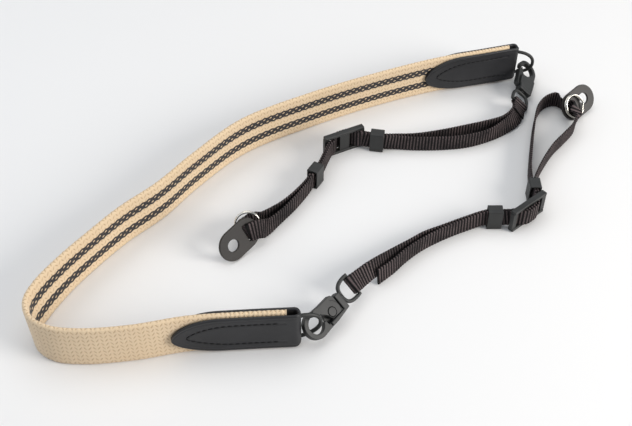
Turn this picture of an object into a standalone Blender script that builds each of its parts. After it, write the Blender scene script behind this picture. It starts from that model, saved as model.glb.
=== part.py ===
"""Webbing camera strap, laid out on a table: a wide woven band with a leather tab at
each end, and on each tab's D-ring a snap hook that carries a thin webbing strap with
its two keepers, its ladder buckle, its split ring and its leather lug protector."""
import math
from collections import namedtuple

import bmesh
import bpy
import numpy as np
from mathutils import Matrix

# The figure that the strap makes as it lies: routes are shares of this width.
LAY_WIDTH = 0.300
CLEARANCE = 0.0003

# Wide woven band
WEB_WIDTH = 0.025
WEB_THICKNESS = 0.0025
WEB_END_INSET = 0.009

# Leather end tabs
TAB_LENGTH = 0.061
TAB_WIDTH = 0.023
TAB_LEATHER = 0.0016
TAB_POINT = 0.024
TAB_TIP_SHARE = 0.16

# D-rings
D_WIRE = 0.0020
D_BAR = 0.0150
D_DEPTH = 0.0128
D_FULLNESS = 0.80

# Thin straps
THIN_WIDTH = 0.010
THIN_THICKNESS = 0.0010
LAYER_GAP = 0.0004
SEWN_LENGTH = 0.014
STRAP_STEP = 0.008
BAND_STEP = 0.006
TAB_STEP = 0.003

# Keepers
KEEPER_WALL = 0.0008
KEEPER_LENGTH = 0.0078
KEEPER_PLAY = 0.0012
KEEPER_HEIGHT = THIN_WIDTH + 2 * (KEEPER_WALL + CLEARANCE + 0.0001)
KEEPER_DEPTH = 2 * THIN_THICKNESS + LAYER_GAP + 2 * (KEEPER_WALL + KEEPER_PLAY)

# Ladder buckles
BUCKLE_LENGTH = 0.0255
BUCKLE_DEPTH = 0.0024
BUCKLE_END_BAR = 0.0030
BUCKLE_PLATE = 0.0060
BUCKLE_RIM = 0.0015
BUCKLE_ROUND = 0.0022
BUCKLE_HEIGHT = THIN_WIDTH + 2 * (BUCKLE_RIM + 0.0005)

# Snap hooks
HOOK_DEPTH = 0.0050
HOOK_LOOP_DEPTH = 0.0030
HOOK_LOOP_OUTER = 0.0069
HOOK_LOOP_INNER = 0.0044
HOOK_SPINE = 0.0021
HOOK_PIN_ALONG = 0.0107
HOOK_PIN_ACROSS = -0.0010
HOOK_PIN_RADIUS = 0.0022
HOOK_HUB_RADIUS = 0.0029
HOOK_CHEEK = 0.0012
HOOK_LEVER_END = 0.0162
HOOK_COLLAR_START = 0.0170
HOOK_COLLAR_END = 0.0204
HOOK_EDGE_ROUND = 0.0004

# Swivel eyes
EYE_WIRE = 0.0020
EYE_SQUEEZE = 0.92
EYE_DEPTH = 0.0093
EYE_FULLNESS = 0.60
EYE_STEM_RADIUS = 0.0014
EYE_BAR = THIN_WIDTH * EYE_SQUEEZE + EYE_WIRE + 2 * CLEARANCE
EYE_BAR_ALONG = HOOK_COLLAR_END + CLEARANCE + EYE_WIRE / 2 + EYE_DEPTH

# Split rings
SPLIT_OUTER = 0.0140
SPLIT_WIRE = 0.0011
SPLIT_TURNS = 1.85

# Leather lug protectors
PROTECTOR_LENGTH = 0.0260
PROTECTOR_WIDTH = 0.0165
PROTECTOR_LEATHER = 0.0015
PROTECTOR_HOLE = 0.0066
PROTECTOR_SLOT_WIDTH = 0.0034
PROTECTOR_SLOT_LENGTH = THIN_WIDTH + 0.0010
PROTECTOR_SLOT_PAST_CENTRE = 0.0010
PROTECTOR_ARC_CENTRE = (PROTECTOR_LENGTH - PROTECTOR_WIDTH) / 2

LAYER_PITCH = THIN_THICKNESS + LAYER_GAP

# Route rows: x and y are shares of LAY_WIDTH, height is the ribbon's middle as a share of
# the ribbon's width, and the two tilts lean its upper edge along X and Y.
BandRow = namedtuple("BandRow", "x y tilt_x tilt_y")
StrapRow = namedtuple("StrapRow", "x y height tilt_x tilt_y")

BAND_ROUTE = [
    BandRow(-0.023, -0.293, 0.00, 0.00),
    BandRow(-0.120, -0.299, 0.00, 0.00),
    BandRow(-0.197, -0.306, 0.00, 0.00),
    BandRow(-0.283, -0.324, 0.00, 0.00),
    BandRow(-0.360, -0.331, 0.00, 0.02),
    BandRow(-0.407, -0.325, 0.02, 0.03),
    BandRow(-0.437, -0.305, -0.02, 0.02),
    BandRow(-0.449, -0.273, -0.06, 0.02),
    BandRow(-0.440, -0.238, -0.10, 0.03),
    BandRow(-0.413, -0.185, -0.05, 0.03),
    BandRow(-0.378, -0.132, -0.02, 0.02),
    BandRow(-0.332, -0.070, -0.02, 0.02),
    BandRow(-0.275, -0.009, -0.02, 0.02),
    BandRow(-0.220, 0.068, 0.00, 0.00),
    BandRow(-0.137, 0.164, 0.00, 0.02),
    BandRow(-0.008, 0.244, 0.00, 0.00),
    BandRow(0.128, 0.311, 0.00, -0.04),
    BandRow(0.248, 0.358, 0.00, -0.02),
    BandRow(0.340, 0.383, 0.00, 0.00),
    BandRow(0.4135, 0.4035, 0.00, 0.00),
]

# A side is one hook and the thin strap on it. The tail is the free end's run, the main run
# ends round the swivel eye, and a leg runs on from the far keeper to the leather plate.
Side = namedtuple(
    "Side",
    "name swing hook tail main near_keeper buckle far_keeper tail_leg main_leg plate ring bend",
)
# Keepers and buckles stand on the table at a spot, turned to a heading in degrees.
Spot = namedtuple("Spot", "x y heading")
# The hook's loop centre: z is a share of the loop's outer radius.
HookPose = namedtuple("HookPose", "x y z along face")
# The plate's hole centre: z is a share of the plate's width.
PlatePose = namedtuple("PlatePose", "x y z along face")
# Places from the plate's slot, as shares of the plate's width, and the ribbon's width share.
BendRow = namedtuple("BendRow", "along out across narrow")
RingPose = namedtuple("RingPose", "along out across face")

FRONT = Side(
    name="front",
    swing=13.0,
    hook=HookPose(-0.0013, -0.2807, 1.28, (0.590, 0.806, 0.030), (0.508, -0.400, 0.763)),
    tail=[
        StrapRow(0.103, -0.169, 0.51, -0.08, 0.10),
        StrapRow(0.131, -0.143, 0.51, -0.06, 0.08),
        StrapRow(0.152, -0.120, 0.51, -0.04, 0.05),
        StrapRow(0.180, -0.095, 0.50, 0.00, 0.00),
        StrapRow(0.217, -0.070, 0.50, 0.00, 0.00),
        StrapRow(0.263, -0.047, 0.54, 0.00, 0.00),
    ],
    main=[
        StrapRow(0.091, -0.164, 0.90, -0.45, 0.30),
        StrapRow(0.125, -0.133, 0.70, -0.33, 0.34),
        StrapRow(0.161, -0.102, 0.56, -0.20, 0.20),
        StrapRow(0.187, -0.079, 0.51, -0.05, 0.05),
        StrapRow(0.217, -0.063, 0.50, 0.00, 0.00),
        StrapRow(0.263, -0.042, 0.54, 0.00, 0.00),
    ],
    near_keeper=Spot(0.315, -0.031, 0.0),
    buckle=Spot(0.375, -0.018, 40.0),
    far_keeper=Spot(0.395, 0.037, 90.0),
    tail_leg=[
        StrapRow(0.411, 0.086, 0.51, 0.00, 0.00),
        StrapRow(0.431, 0.124, 0.50, 0.00, 0.00),
        StrapRow(0.452, 0.157, 0.50, 0.00, 0.00),
        StrapRow(0.477, 0.187, 0.50, 0.00, 0.00),
        StrapRow(0.501, 0.218, 0.51, 0.00, 0.00),
        StrapRow(0.511, 0.243, 0.66, -0.10, 0.00),
    ],
    main_leg=[
        StrapRow(0.397, 0.091, 0.51, 0.00, 0.00),
        StrapRow(0.405, 0.133, 0.50, 0.00, 0.00),
        StrapRow(0.416, 0.184, 0.50, 0.00, 0.00),
        StrapRow(0.428, 0.233, 0.50, 0.00, 0.00),
        StrapRow(0.441, 0.272, 0.50, 0.00, 0.00),
        StrapRow(0.460, 0.298, 0.50, 0.00, 0.00),
        StrapRow(0.482, 0.307, 0.50, -0.10, 0.10),
    ],
    plate=PlatePose(0.533, 0.297, 0.50, (0.738, 0.662, 0.135), (0.450, -0.630, 0.630)),
    ring=RingPose(0.03, 0.15, 0.03, (0.450, -0.630, 0.630)),
    bend=[
        BendRow(-0.20, 0.31, -0.18, 0.90),
        BendRow(0.00, 0.26, 0.00, 0.86),
        BendRow(0.00, 0.00, 0.00, 0.90),
        BendRow(0.00, -0.18, 0.00, 0.96),
        BendRow(0.02, -0.41, 0.17, 1.00),
    ],
)

FAR = Side(
    name="far",
    swing=-22.0,
    hook=HookPose(0.4345, 0.3890, 1.09, (-0.276, -0.960, -0.055), (-0.620, 0.200, -0.760)),
    tail=[
        StrapRow(0.398, 0.263, 0.54, -0.60, 0.30),
        StrapRow(0.384, 0.246, 0.51, -0.40, 0.25),
        StrapRow(0.365, 0.233, 0.50, -0.20, 0.10),
        StrapRow(0.327, 0.220, 0.50, 0.00, 0.00),
        StrapRow(0.287, 0.207, 0.50, 0.00, 0.00),
        StrapRow(0.240, 0.193, 0.50, 0.00, 0.00),
        StrapRow(0.190, 0.182, 0.51, 0.00, 0.00),
        StrapRow(0.153, 0.179, 0.55, 0.00, 0.00),
    ],
    main=[
        StrapRow(0.399, 0.257, 0.56, -0.70, 0.35),
        StrapRow(0.389, 0.242, 0.52, -0.45, 0.30),
        StrapRow(0.368, 0.221, 0.50, -0.20, 0.20),
        StrapRow(0.336, 0.197, 0.50, 0.00, 0.00),
        StrapRow(0.291, 0.179, 0.50, 0.00, 0.00),
        StrapRow(0.239, 0.172, 0.50, 0.00, 0.00),
        StrapRow(0.190, 0.171, 0.51, 0.00, 0.00),
        StrapRow(0.153, 0.173, 0.55, 0.00, 0.00),
    ],
    near_keeper=Spot(0.117, 0.176, 170.0),
    buckle=Spot(0.053, 0.172, 207.0),
    far_keeper=Spot(-0.001, 0.078, 241.0),
    tail_leg=[
        StrapRow(-0.019, 0.051, 0.53, 0.00, 0.00),
        StrapRow(-0.053, 0.005, 0.50, 0.00, 0.00),
        StrapRow(-0.077, -0.017, 0.50, 0.00, 0.00),
        StrapRow(-0.101, -0.033, 0.52, 0.00, 0.00),
    ],
    main_leg=[
        StrapRow(-0.014, 0.049, 0.53, 0.00, 0.00),
        StrapRow(-0.039, 0.007, 0.50, 0.00, 0.00),
        StrapRow(-0.065, -0.029, 0.50, 0.00, 0.00),
        StrapRow(-0.086, -0.056, 0.59, -0.20, 0.10),
    ],
    plate=PlatePose(-0.142, -0.104, 0.46, (-0.657, -0.729, -0.169), (0.606, -0.650, 0.454)),
    ring=RingPose(-0.33, -0.37, -0.01, (0.090, -0.905, 0.415)),
    bend=[
        BendRow(-0.53, -0.41, 0.05, 0.90),
        BendRow(-0.33, -0.34, -0.04, 0.86),
        BendRow(-0.15, -0.36, -0.06, 0.88),
        BendRow(-0.01, -0.28, -0.02, 0.92),
        BendRow(0.00, 0.00, 0.00, 0.95),
        BendRow(0.00, 0.12, 0.00, 0.97),
        BendRow(-0.18, 0.14, 0.06, 1.00),
        BendRow(-0.38, 0.14, 0.15, 1.00),
    ],
)

# The ribbon pair's way through a buckle: along the buckle and out of its plane, as
# shares of half its length and of its depth. The second half mirrors the first.
WeaveRow = namedtuple("WeaveRow", "along out")
WEAVE = [
    WeaveRow(-0.80, 1.18),
    WeaveRow(-0.64, 0.75),
    WeaveRow(-0.51, 0.00),
    WeaveRow(-0.38, -0.75),
    WeaveRow(-0.21, -1.14),
    WeaveRow(0.00, -1.18),
]

# Snap hook shapes seen on the lever's face: along runs from the loop to the eye and
# across towards the lever, both as shares of the loop's outer radius.
OutlinePoint = namedtuple("OutlinePoint", "along across")
LEVER_NOSE = [
    OutlinePoint(2.14, 0.81),
    OutlinePoint(1.07, 0.84),
    OutlinePoint(0.49, 0.89),
    OutlinePoint(0.38, 0.90),
    OutlinePoint(0.08, 0.60),
    OutlinePoint(0.29, 0.51),
    OutlinePoint(0.67, 0.38),
    OutlinePoint(0.90, 0.13),
]
CHEEK = [
    OutlinePoint(0.72, -0.75),
    OutlinePoint(2.75, -0.75),
    OutlinePoint(2.75, 0.40),
    OutlinePoint(2.10, 0.62),
    OutlinePoint(1.20, 0.62),
    OutlinePoint(0.95, -0.20),
]
TIP_OUTER_ANGLE = 70.0
TIP_INNER_ANGLE = 88.0
STUB_ANGLE = 335.0

MATERIALS = {
    "webbing": ((0.66, 0.50, 0.31), 0.90, 0.0),
    "leather": ((0.018, 0.018, 0.020), 0.50, 0.0),
    "thin_webbing": ((0.022, 0.018, 0.020), 0.75, 0.0),
    "plastic": ((0.030, 0.031, 0.032), 0.45, 0.0),
    "nickel": ((0.75, 0.72, 0.66), 0.22, 1.0),
}


def clear_scene():
    for item in list(bpy.data.objects):
        bpy.data.objects.remove(item, do_unlink=True)


def make_collection(name):
    group = bpy.data.collections.new(name)
    bpy.context.scene.collection.children.link(group)
    return group


def make_material(name, kind):
    colour, roughness, metallic = MATERIALS[kind]
    material = bpy.data.materials.new(name)
    material.use_nodes = True
    shader = material.node_tree.nodes["Principled BSDF"]
    shader.inputs["Base Color"].default_value = (*colour, 1.0)
    shader.inputs["Roughness"].default_value = roughness
    shader.inputs["Metallic"].default_value = metallic
    return material


def add_empty(name, parent, matrix):
    empty = bpy.data.objects.new(name, None)
    PARTS.objects.link(empty)
    empty.parent = parent
    empty.matrix_local = matrix
    return empty


def finish_part(item, name, kind, parent, matrix=None):
    """Names a finished mesh object, gives it its own material and its place."""
    item.name = name
    item.data.name = name
    item.data.materials.clear()
    item.data.materials.append(make_material(name, kind))
    item.parent = parent
    if matrix is not None:
        item.matrix_local = matrix
    return item


def mesh_from_curve(curve):
    """Turns a curve object into a welded mesh object and removes the curve."""
    PARTS.objects.link(curve)
    bpy.context.view_layer.update()
    graph = bpy.context.evaluated_depsgraph_get()
    mesh = bpy.data.meshes.new_from_object(curve.evaluated_get(graph))
    bpy.data.objects.remove(curve, do_unlink=True)
    shape = bmesh.new()
    shape.from_mesh(mesh)
    bmesh.ops.remove_doubles(shape, verts=shape.verts, dist=1e-6)
    bmesh.ops.recalc_face_normals(shape, faces=shape.faces)
    shape.to_mesh(mesh)
    shape.free()
    item = bpy.data.objects.new("shape", mesh)
    PARTS.objects.link(item)
    return item


def add_plate(outlines, thickness, rounding=0.0):
    """A flat plate in the local XY plane, from its outline and its holes."""
    curve = bpy.data.curves.new("plate", "CURVE")
    curve.dimensions = "2D"
    curve.fill_mode = "BOTH"
    curve.extrude = thickness / 2 - rounding
    curve.bevel_depth = rounding
    curve.bevel_resolution = 0
    curve.offset = -rounding
    for outline in outlines:
        spline = curve.splines.new("POLY")
        spline.points.add(len(outline) - 1)
        for point, (x, y) in zip(spline.points, outline):
            point.co = (x, y, 0.0, 1.0)
        spline.use_cyclic_u = True
    return mesh_from_curve(bpy.data.objects.new("plate", curve))


def add_wire(points, radius, closed, sides=1):
    """A round wire along points, as a closed loop or with capped ends."""
    curve = bpy.data.curves.new("wire", "CURVE")
    curve.dimensions = "3D"
    curve.fill_mode = "FULL"
    curve.bevel_depth = radius
    curve.bevel_resolution = sides
    curve.use_fill_caps = not closed
    spline = curve.splines.new("POLY")
    spline.points.add(len(points) - 1)
    for point, place in zip(spline.points, points):
        point.co = (*place, 1.0)
    spline.use_cyclic_u = closed
    return mesh_from_curve(bpy.data.objects.new("wire", curve))


def add_cylinder(radius, length, matrix, sides=20):
    bpy.ops.mesh.primitive_cylinder_add(vertices=sides, radius=radius, depth=length)
    item = bpy.context.active_object
    for group in list(item.users_collection):
        group.objects.unlink(item)
    PARTS.objects.link(item)
    item.data.transform(matrix)
    return item


def add_box(size, centre):
    bpy.ops.mesh.primitive_cube_add(size=1.0)
    item = bpy.context.active_object
    for group in list(item.users_collection):
        group.objects.unlink(item)
    PARTS.objects.link(item)
    item.data.transform(Matrix.Translation(centre) @ Matrix.Diagonal((*size, 1.0)))
    return item


def combine(item, other, operation):
    """Applies an exact Boolean of two mesh objects and removes the second one."""
    modifier = item.modifiers.new("combine", "BOOLEAN")
    modifier.operation = operation
    modifier.solver = "EXACT"
    modifier.object = other
    bpy.context.view_layer.update()
    graph = bpy.context.evaluated_depsgraph_get()
    mesh = bpy.data.meshes.new_from_object(item.evaluated_get(graph))
    item.modifiers.clear()
    item.data = mesh
    bpy.data.objects.remove(other, do_unlink=True)
    shape = bmesh.new()
    shape.from_mesh(mesh)
    bmesh.ops.remove_doubles(shape, verts=shape.verts, dist=1e-6)
    bmesh.ops.dissolve_degenerate(shape, edges=shape.edges, dist=1e-6)
    shape.to_mesh(mesh)
    shape.free()
    return item


def unit(vector):
    return np.asarray(vector, float) / np.linalg.norm(vector)


def frame_matrix(origin, x_axis, z_axis):
    """A placing matrix with the given X direction and nearly the given Z direction."""
    x = unit(x_axis)
    y = unit(np.cross(z_axis, x))
    z = np.cross(x, y)
    matrix = Matrix.Identity(4)
    for column, axis in enumerate((x, y, z, np.asarray(origin, float))):
        for row in range(3):
            matrix[row][column] = float(axis[row])
    return matrix


def smooth(points, step):
    """Catmull-Rom curve through rows whose first three columns are a place."""
    points = np.asarray(points, float)
    first = 2 * points[0] - points[1]
    last = 2 * points[-1] - points[-2]
    points = np.vstack([first, points, last])
    result = []
    for before, start, end, after in zip(points, points[1:], points[2:], points[3:]):
        lengths = [np.linalg.norm(b[:3] - a[:3]) ** 0.5
                   for a, b in ((before, start), (start, end), (end, after))]
        t0 = 0.0
        t1 = t0 + lengths[0]
        t2 = t1 + lengths[1]
        t3 = t2 + lengths[2]
        count = max(1, int(np.linalg.norm(end[:3] - start[:3]) / step))
        for index in range(count):
            t = t1 + (t2 - t1) * index / count
            a1 = (t1 - t) / (t1 - t0) * before + (t - t0) / (t1 - t0) * start
            a2 = (t2 - t) / (t2 - t1) * start + (t - t1) / (t2 - t1) * end
            a3 = (t3 - t) / (t3 - t2) * end + (t - t2) / (t3 - t2) * after
            b1 = (t2 - t) / (t2 - t0) * a1 + (t - t0) / (t2 - t0) * a2
            b2 = (t3 - t) / (t3 - t1) * a2 + (t - t1) / (t3 - t1) * a3
            result.append((t2 - t) / (t2 - t1) * b1 + (t - t1) / (t2 - t1) * b2)
    result.append(points[-2])
    return np.array(result)


def thin_out(points, longest, turn):
    """Keeps a point where the path has turned or run far enough since the last one."""
    kept = [points[0]]
    heading = unit(points[1][:3] - points[0][:3])
    for before, point in zip(points[1:], points[2:]):
        ahead = unit(point[:3] - before[:3])
        run = np.linalg.norm(before[:3] - kept[-1][:3])
        turned = math.degrees(math.acos(max(-1.0, min(1.0, float(heading @ ahead)))))
        if run > longest or turned > turn:
            kept.append(before)
            heading = ahead
    kept.append(points[-1])
    return np.array(kept)


def tangents(points):
    ahead = np.vstack([points[1:, :3], points[-1:, :3]])
    behind = np.vstack([points[:1, :3], points[:-1, :3]])
    return np.array([unit(a - b) for a, b in zip(ahead, behind)])


def add_ribbon(points, width, thickness):
    """Lofts a flat ribbon through rows of place, width direction and width share."""
    shape = bmesh.new()
    rings = []
    for row, along in zip(points, tangents(points)):
        up = unit(row[3:6] - (row[3:6] @ along) * along)
        out = np.cross(along, up)
        half_width = up * width * row[6] / 2
        half_thick = out * thickness / 2
        corners = (half_thick - half_width, half_thick + half_width,
                   -half_thick + half_width, -half_thick - half_width)
        rings.append([shape.verts.new(row[:3] + corner) for corner in corners])
    for ring, following in zip(rings, rings[1:]):
        for index in range(4):
            after = (index + 1) % 4
            shape.faces.new((ring[index], ring[after], following[after], following[index]))
    shape.faces.new(rings[0][::-1])
    shape.faces.new(rings[-1])
    bmesh.ops.recalc_face_normals(shape, faces=shape.faces)
    mesh = bpy.data.meshes.new("ribbon")
    shape.to_mesh(mesh)
    shape.free()
    item = bpy.data.objects.new("ribbon", mesh)
    PARTS.objects.link(item)
    return item


def band_path():
    """The wide band's middle line from one tab's fold to the other's, finely sampled."""
    rows = []
    for row in BAND_ROUTE:
        up = unit((row.tilt_x, row.tilt_y, 1.0))
        rows.append([row.x * LAY_WIDTH, row.y * LAY_WIDTH, WEB_WIDTH / 2 * up[2], *up, 1.0])
    return smooth(rows, 0.001)


def cut_path(points, start, end):
    """The stretch of a path between two lengths along it."""
    steps = np.linalg.norm(np.diff(points[:, :3], axis=0), axis=1)
    lengths = np.concatenate([[0.0], np.cumsum(steps)])
    end = end if end > 0 else lengths[-1] + end
    inside = points[(lengths > start + 1e-5) & (lengths < end - 1e-5)]
    ends = [np.array([np.interp(at, lengths, column) for column in points.T])
            for at in (start, end)]
    return np.vstack([ends[0], inside, ends[1]])


def add_wide_band(path):
    ribbon = thin_out(cut_path(path, WEB_END_INSET, -WEB_END_INSET), BAND_STEP, 4.0)
    item = add_ribbon(ribbon, WEB_WIDTH, WEB_THICKNESS)
    finish_part(item, "wide_webbing", "webbing", ROOT)


def tab_point_share(length):
    """The tab's width at a length from its tip, as a share of its full width."""
    rest = 1.0 - min(1.0, length / TAB_POINT)
    return max(TAB_TIP_SHARE, math.sqrt(1.0 - rest ** 2))


def add_tab(side, path):
    """One leather strip folded round the D-ring's bar, and the D-ring in its windows."""
    gap = WEB_THICKNESS / 2 + CLEARANCE + TAB_LEATHER / 2
    middle = thin_out(cut_path(path, gap + TAB_LEATHER / 2, TAB_LENGTH), TAB_STEP, 2.0)
    ahead = tangents(middle)
    up = middle[0][3:6]
    leaves = []
    for sign in (1.0, -1.0):
        rows = middle.copy()
        for row, along in zip(rows, ahead):
            row[:3] += sign * gap * unit(np.cross(row[3:6], along))
        lengths = np.linalg.norm(np.diff(rows[:, :3], axis=0), axis=1)
        from_tip = np.concatenate([np.cumsum(lengths[::-1])[::-1], [0.0]])
        rows[:, 6] = [tab_point_share(length) for length in from_tip]
        leaves.append(rows)
    out = -ahead[0]
    across = unit(np.cross(up, ahead[0]))
    fold = []
    for angle in (67.5, 45.0, 22.5, 0.0, -22.5, -45.0, -67.5):
        turn = math.radians(angle)
        place = middle[0][:3] + gap * (out * math.cos(turn) + across * math.sin(turn))
        fold.append([*place, *up, 1.0])
    item = add_ribbon(np.vstack([leaves[0][::-1], fold, leaves[1]]), TAB_WIDTH, TAB_LEATHER)
    seat = frame_matrix(middle[0][:3], out, up)
    for sign in (1.0, -1.0):
        size = (gap * 2, gap * 4, D_WIRE + 4 * CLEARANCE)
        window = add_box(size, (gap + CLEARANCE, 0.0, sign * D_BAR / 2))
        window.data.transform(seat)
        combine(item, window, "DIFFERENCE")
    finish_part(item, "leather_tab_" + side.name, "leather", ROOT)
    ring = add_wire(d_shape(D_BAR, D_DEPTH, D_FULLNESS), D_WIRE / 2, True)
    ring.data.transform(Matrix.Rotation(math.radians(90), 4, "X"))
    swing = Matrix.Rotation(math.radians(side.swing), 4, "Z")
    finish_part(ring, "d_ring_" + side.name, "plastic", ROOT, seat @ swing)


def d_shape(bar, depth, fullness, steps=14):
    """A D outline in the XY plane: a straight bar along Y and a bow towards +X."""
    points = []
    for index in range(steps + 1):
        turn = math.radians(-90.0 + 180.0 * index / steps)
        rise = math.copysign(abs(math.sin(turn)) ** (fullness + 0.1), turn)
        points.append((depth * abs(math.cos(turn)) ** fullness, bar / 2 * rise, 0.0))
    return points


def arc(radius, start, end, steps, centre=(0.0, 0.0)):
    points = []
    for index in range(steps + 1):
        turn = math.radians(start + (end - start) * index / steps)
        x = centre[0] + radius * math.cos(turn)
        y = centre[1] + radius * math.sin(turn)
        points.append((x, y))
    return points


def rounded_box(width, height, radius, centre=0.0, steps=4):
    """A rounded rectangle in the XY plane, shifted along X."""
    points = []
    corners = ((1, 1, 0.0), (-1, 1, 90.0), (-1, -1, 180.0), (1, -1, 270.0))
    for side_x, side_y, start in corners:
        middle = (centre + side_x * (width / 2 - radius), side_y * (height / 2 - radius))
        points += arc(radius, start, start + 90.0, steps, middle)
    return points


def scaled(outline):
    return [(p.along * HOOK_LOOP_OUTER, p.across * HOOK_LOOP_OUTER) for p in outline]


def hook_outline():
    """Loop, spine, crossbar stub and collar of the snap hook in one outline."""
    outer = HOOK_LOOP_OUTER
    face = -HOOK_LOOP_INNER
    points = arc(outer, TIP_OUTER_ANGLE, 270.0, 20)
    points += [(HOOK_PIN_ALONG, face - HOOK_SPINE), (HOOK_COLLAR_END, face - HOOK_SPINE * 0.6)]
    points += [(HOOK_COLLAR_END, outer * 0.5), (HOOK_COLLAR_START, outer * 0.5)]
    points += [(HOOK_COLLAR_START, face), (outer * 0.84, face)]
    points += [(outer * 0.80, face * 0.42)]
    points += arc(HOOK_LOOP_INNER, STUB_ANGLE, TIP_INNER_ANGLE, 20)
    return points


def add_hook_frame(name, seat):
    frame = add_plate([hook_outline()], HOOK_DEPTH)
    slab = (HOOK_DEPTH - HOOK_LOOP_DEPTH) / 2
    for sign in (1.0, -1.0):
        size = (HOOK_LOOP_OUTER * 2.2, HOOK_LOOP_OUTER * 2.2, slab * 2)
        centre = (HOOK_LOOP_OUTER * (0.52 - 1.1), 0.0, sign * (HOOK_LOOP_DEPTH / 2 + slab))
        combine(frame, add_box(size, centre), "DIFFERENCE")
    plate = add_plate([scaled(CHEEK)], HOOK_CHEEK)
    inset = CLEARANCE / 3
    lift = (HOOK_CHEEK - HOOK_DEPTH) / 2 + inset
    plate.data.transform(Matrix.Translation((0.0, 0.0, lift)))
    combine(frame, plate, "UNION")
    length = HOOK_DEPTH - HOOK_CHEEK / 2
    place = (HOOK_PIN_ALONG, HOOK_PIN_ACROSS, (HOOK_DEPTH - length) / 2)
    pin = add_cylinder(HOOK_PIN_RADIUS, length, Matrix.Translation(place))
    combine(frame, pin, "UNION")
    start = HOOK_COLLAR_START + CLEARANCE
    length = HOOK_COLLAR_END - start + HOOK_CHEEK
    turn = Matrix.Rotation(math.radians(90), 4, "Y")
    place = Matrix.Translation((start + length / 2, 0.0, 0.0))
    bore = add_cylinder(EYE_STEM_RADIUS + CLEARANCE, length, place @ turn, 16)
    combine(frame, bore, "DIFFERENCE")
    finish_part(frame, "hook_frame_" + name, "plastic", seat)


def add_gate_lever(name, seat):
    """The lever turns on the frame's pin and its nose closes the hook's mouth."""
    pin = (HOOK_PIN_ALONG, HOOK_PIN_ACROSS)
    spine_side = CLEARANCE - HOOK_LOOP_INNER
    outline = scaled(LEVER_NOSE)
    outline += arc(HOOK_HUB_RADIUS, 180.0, 275.0, 6, pin)
    outline += [(HOOK_LEVER_END, spine_side), (HOOK_LEVER_END, HOOK_LOOP_OUTER * 0.52)]
    outline += [(HOOK_LEVER_END * 0.95, HOOK_LOOP_OUTER * 0.74)]
    bore = arc(HOOK_PIN_RADIUS + CLEARANCE, 0.0, 342.0, 19, pin)
    depth = HOOK_DEPTH - HOOK_CHEEK - CLEARANCE * 4 / 3
    lever = add_plate([outline, bore], depth)
    lever.data.transform(Matrix.Translation((-pin[0], -pin[1], (HOOK_DEPTH - depth) / 2)))
    finish_part(lever, "gate_lever_" + name, "plastic", seat, Matrix.Translation((*pin, 0.0)))


def add_swivel_eye(name, seat):
    """A D of round wire whose stem sits in the frame's collar."""
    eye = add_wire(d_shape(EYE_BAR, -EYE_DEPTH, EYE_FULLNESS), EYE_WIRE / 2, True)
    eye.data.transform(Matrix.Translation((EYE_BAR_ALONG, 0.0, 0.0)))
    start = HOOK_COLLAR_START + CLEARANCE * 2
    length = EYE_BAR_ALONG - EYE_DEPTH - start
    turn = Matrix.Rotation(math.radians(90), 4, "Y")
    place = Matrix.Translation((start + length / 2, 0.0, 0.0))
    combine(eye, add_cylinder(EYE_STEM_RADIUS, length, place @ turn, 16), "UNION")
    finish_part(eye, "swivel_eye_" + name, "plastic", seat)


def add_hook(side):
    """Frame, lever and eye on one empty at the loop's centre; gives back that empty."""
    pose = side.hook
    centre = (pose.x * LAY_WIDTH, pose.y * LAY_WIDTH, pose.z * HOOK_LOOP_OUTER)
    seat = frame_matrix(centre, pose.along, pose.face)
    holder = add_empty("hook_seat_" + side.name, ROOT, seat)
    add_hook_frame(side.name, holder)
    add_gate_lever(side.name, holder)
    add_swivel_eye(side.name, holder)
    return seat


def plate_seat(side):
    """The protector's place: X runs from the slot to the hole, Z out of its face."""
    pose = side.plate
    hole = np.array([pose.x * LAY_WIDTH, pose.y * LAY_WIDTH, pose.z * PROTECTOR_WIDTH])
    centre = hole - unit(pose.along) * PROTECTOR_ARC_CENTRE
    return frame_matrix(centre, pose.along, pose.face)


def add_protector(side):
    seat = plate_seat(side)
    ends = arc(PROTECTOR_WIDTH / 2, -90.0, 90.0, 12, (PROTECTOR_ARC_CENTRE, 0.0))
    ends += arc(PROTECTOR_WIDTH / 2, 90.0, 270.0, 12, (-PROTECTOR_ARC_CENTRE, 0.0))
    hole = arc(PROTECTOR_HOLE / 2, 0.0, 342.0, 19, (PROTECTOR_ARC_CENTRE, 0.0))
    slot_at = -PROTECTOR_ARC_CENTRE - PROTECTOR_SLOT_PAST_CENTRE
    slot = rounded_box(PROTECTOR_SLOT_WIDTH, PROTECTOR_SLOT_LENGTH,
                       PROTECTOR_SLOT_WIDTH * 0.3, slot_at, 2)
    item = add_plate([ends, hole, slot], PROTECTOR_LEATHER)
    finish_part(item, "lug_protector_" + side.name, "leather", ROOT, seat)
    slot_seat = seat @ Matrix.Translation((slot_at, 0.0, 0.0))
    add_split_ring(side, slot_seat)
    return slot_seat


def place_in(seat, along, across, out):
    """A place in a seat's frame, in world coordinates."""
    matrix = np.array(seat)
    return matrix[:3, 3] + matrix[:3, :3] @ np.array([along, across, out])


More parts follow.
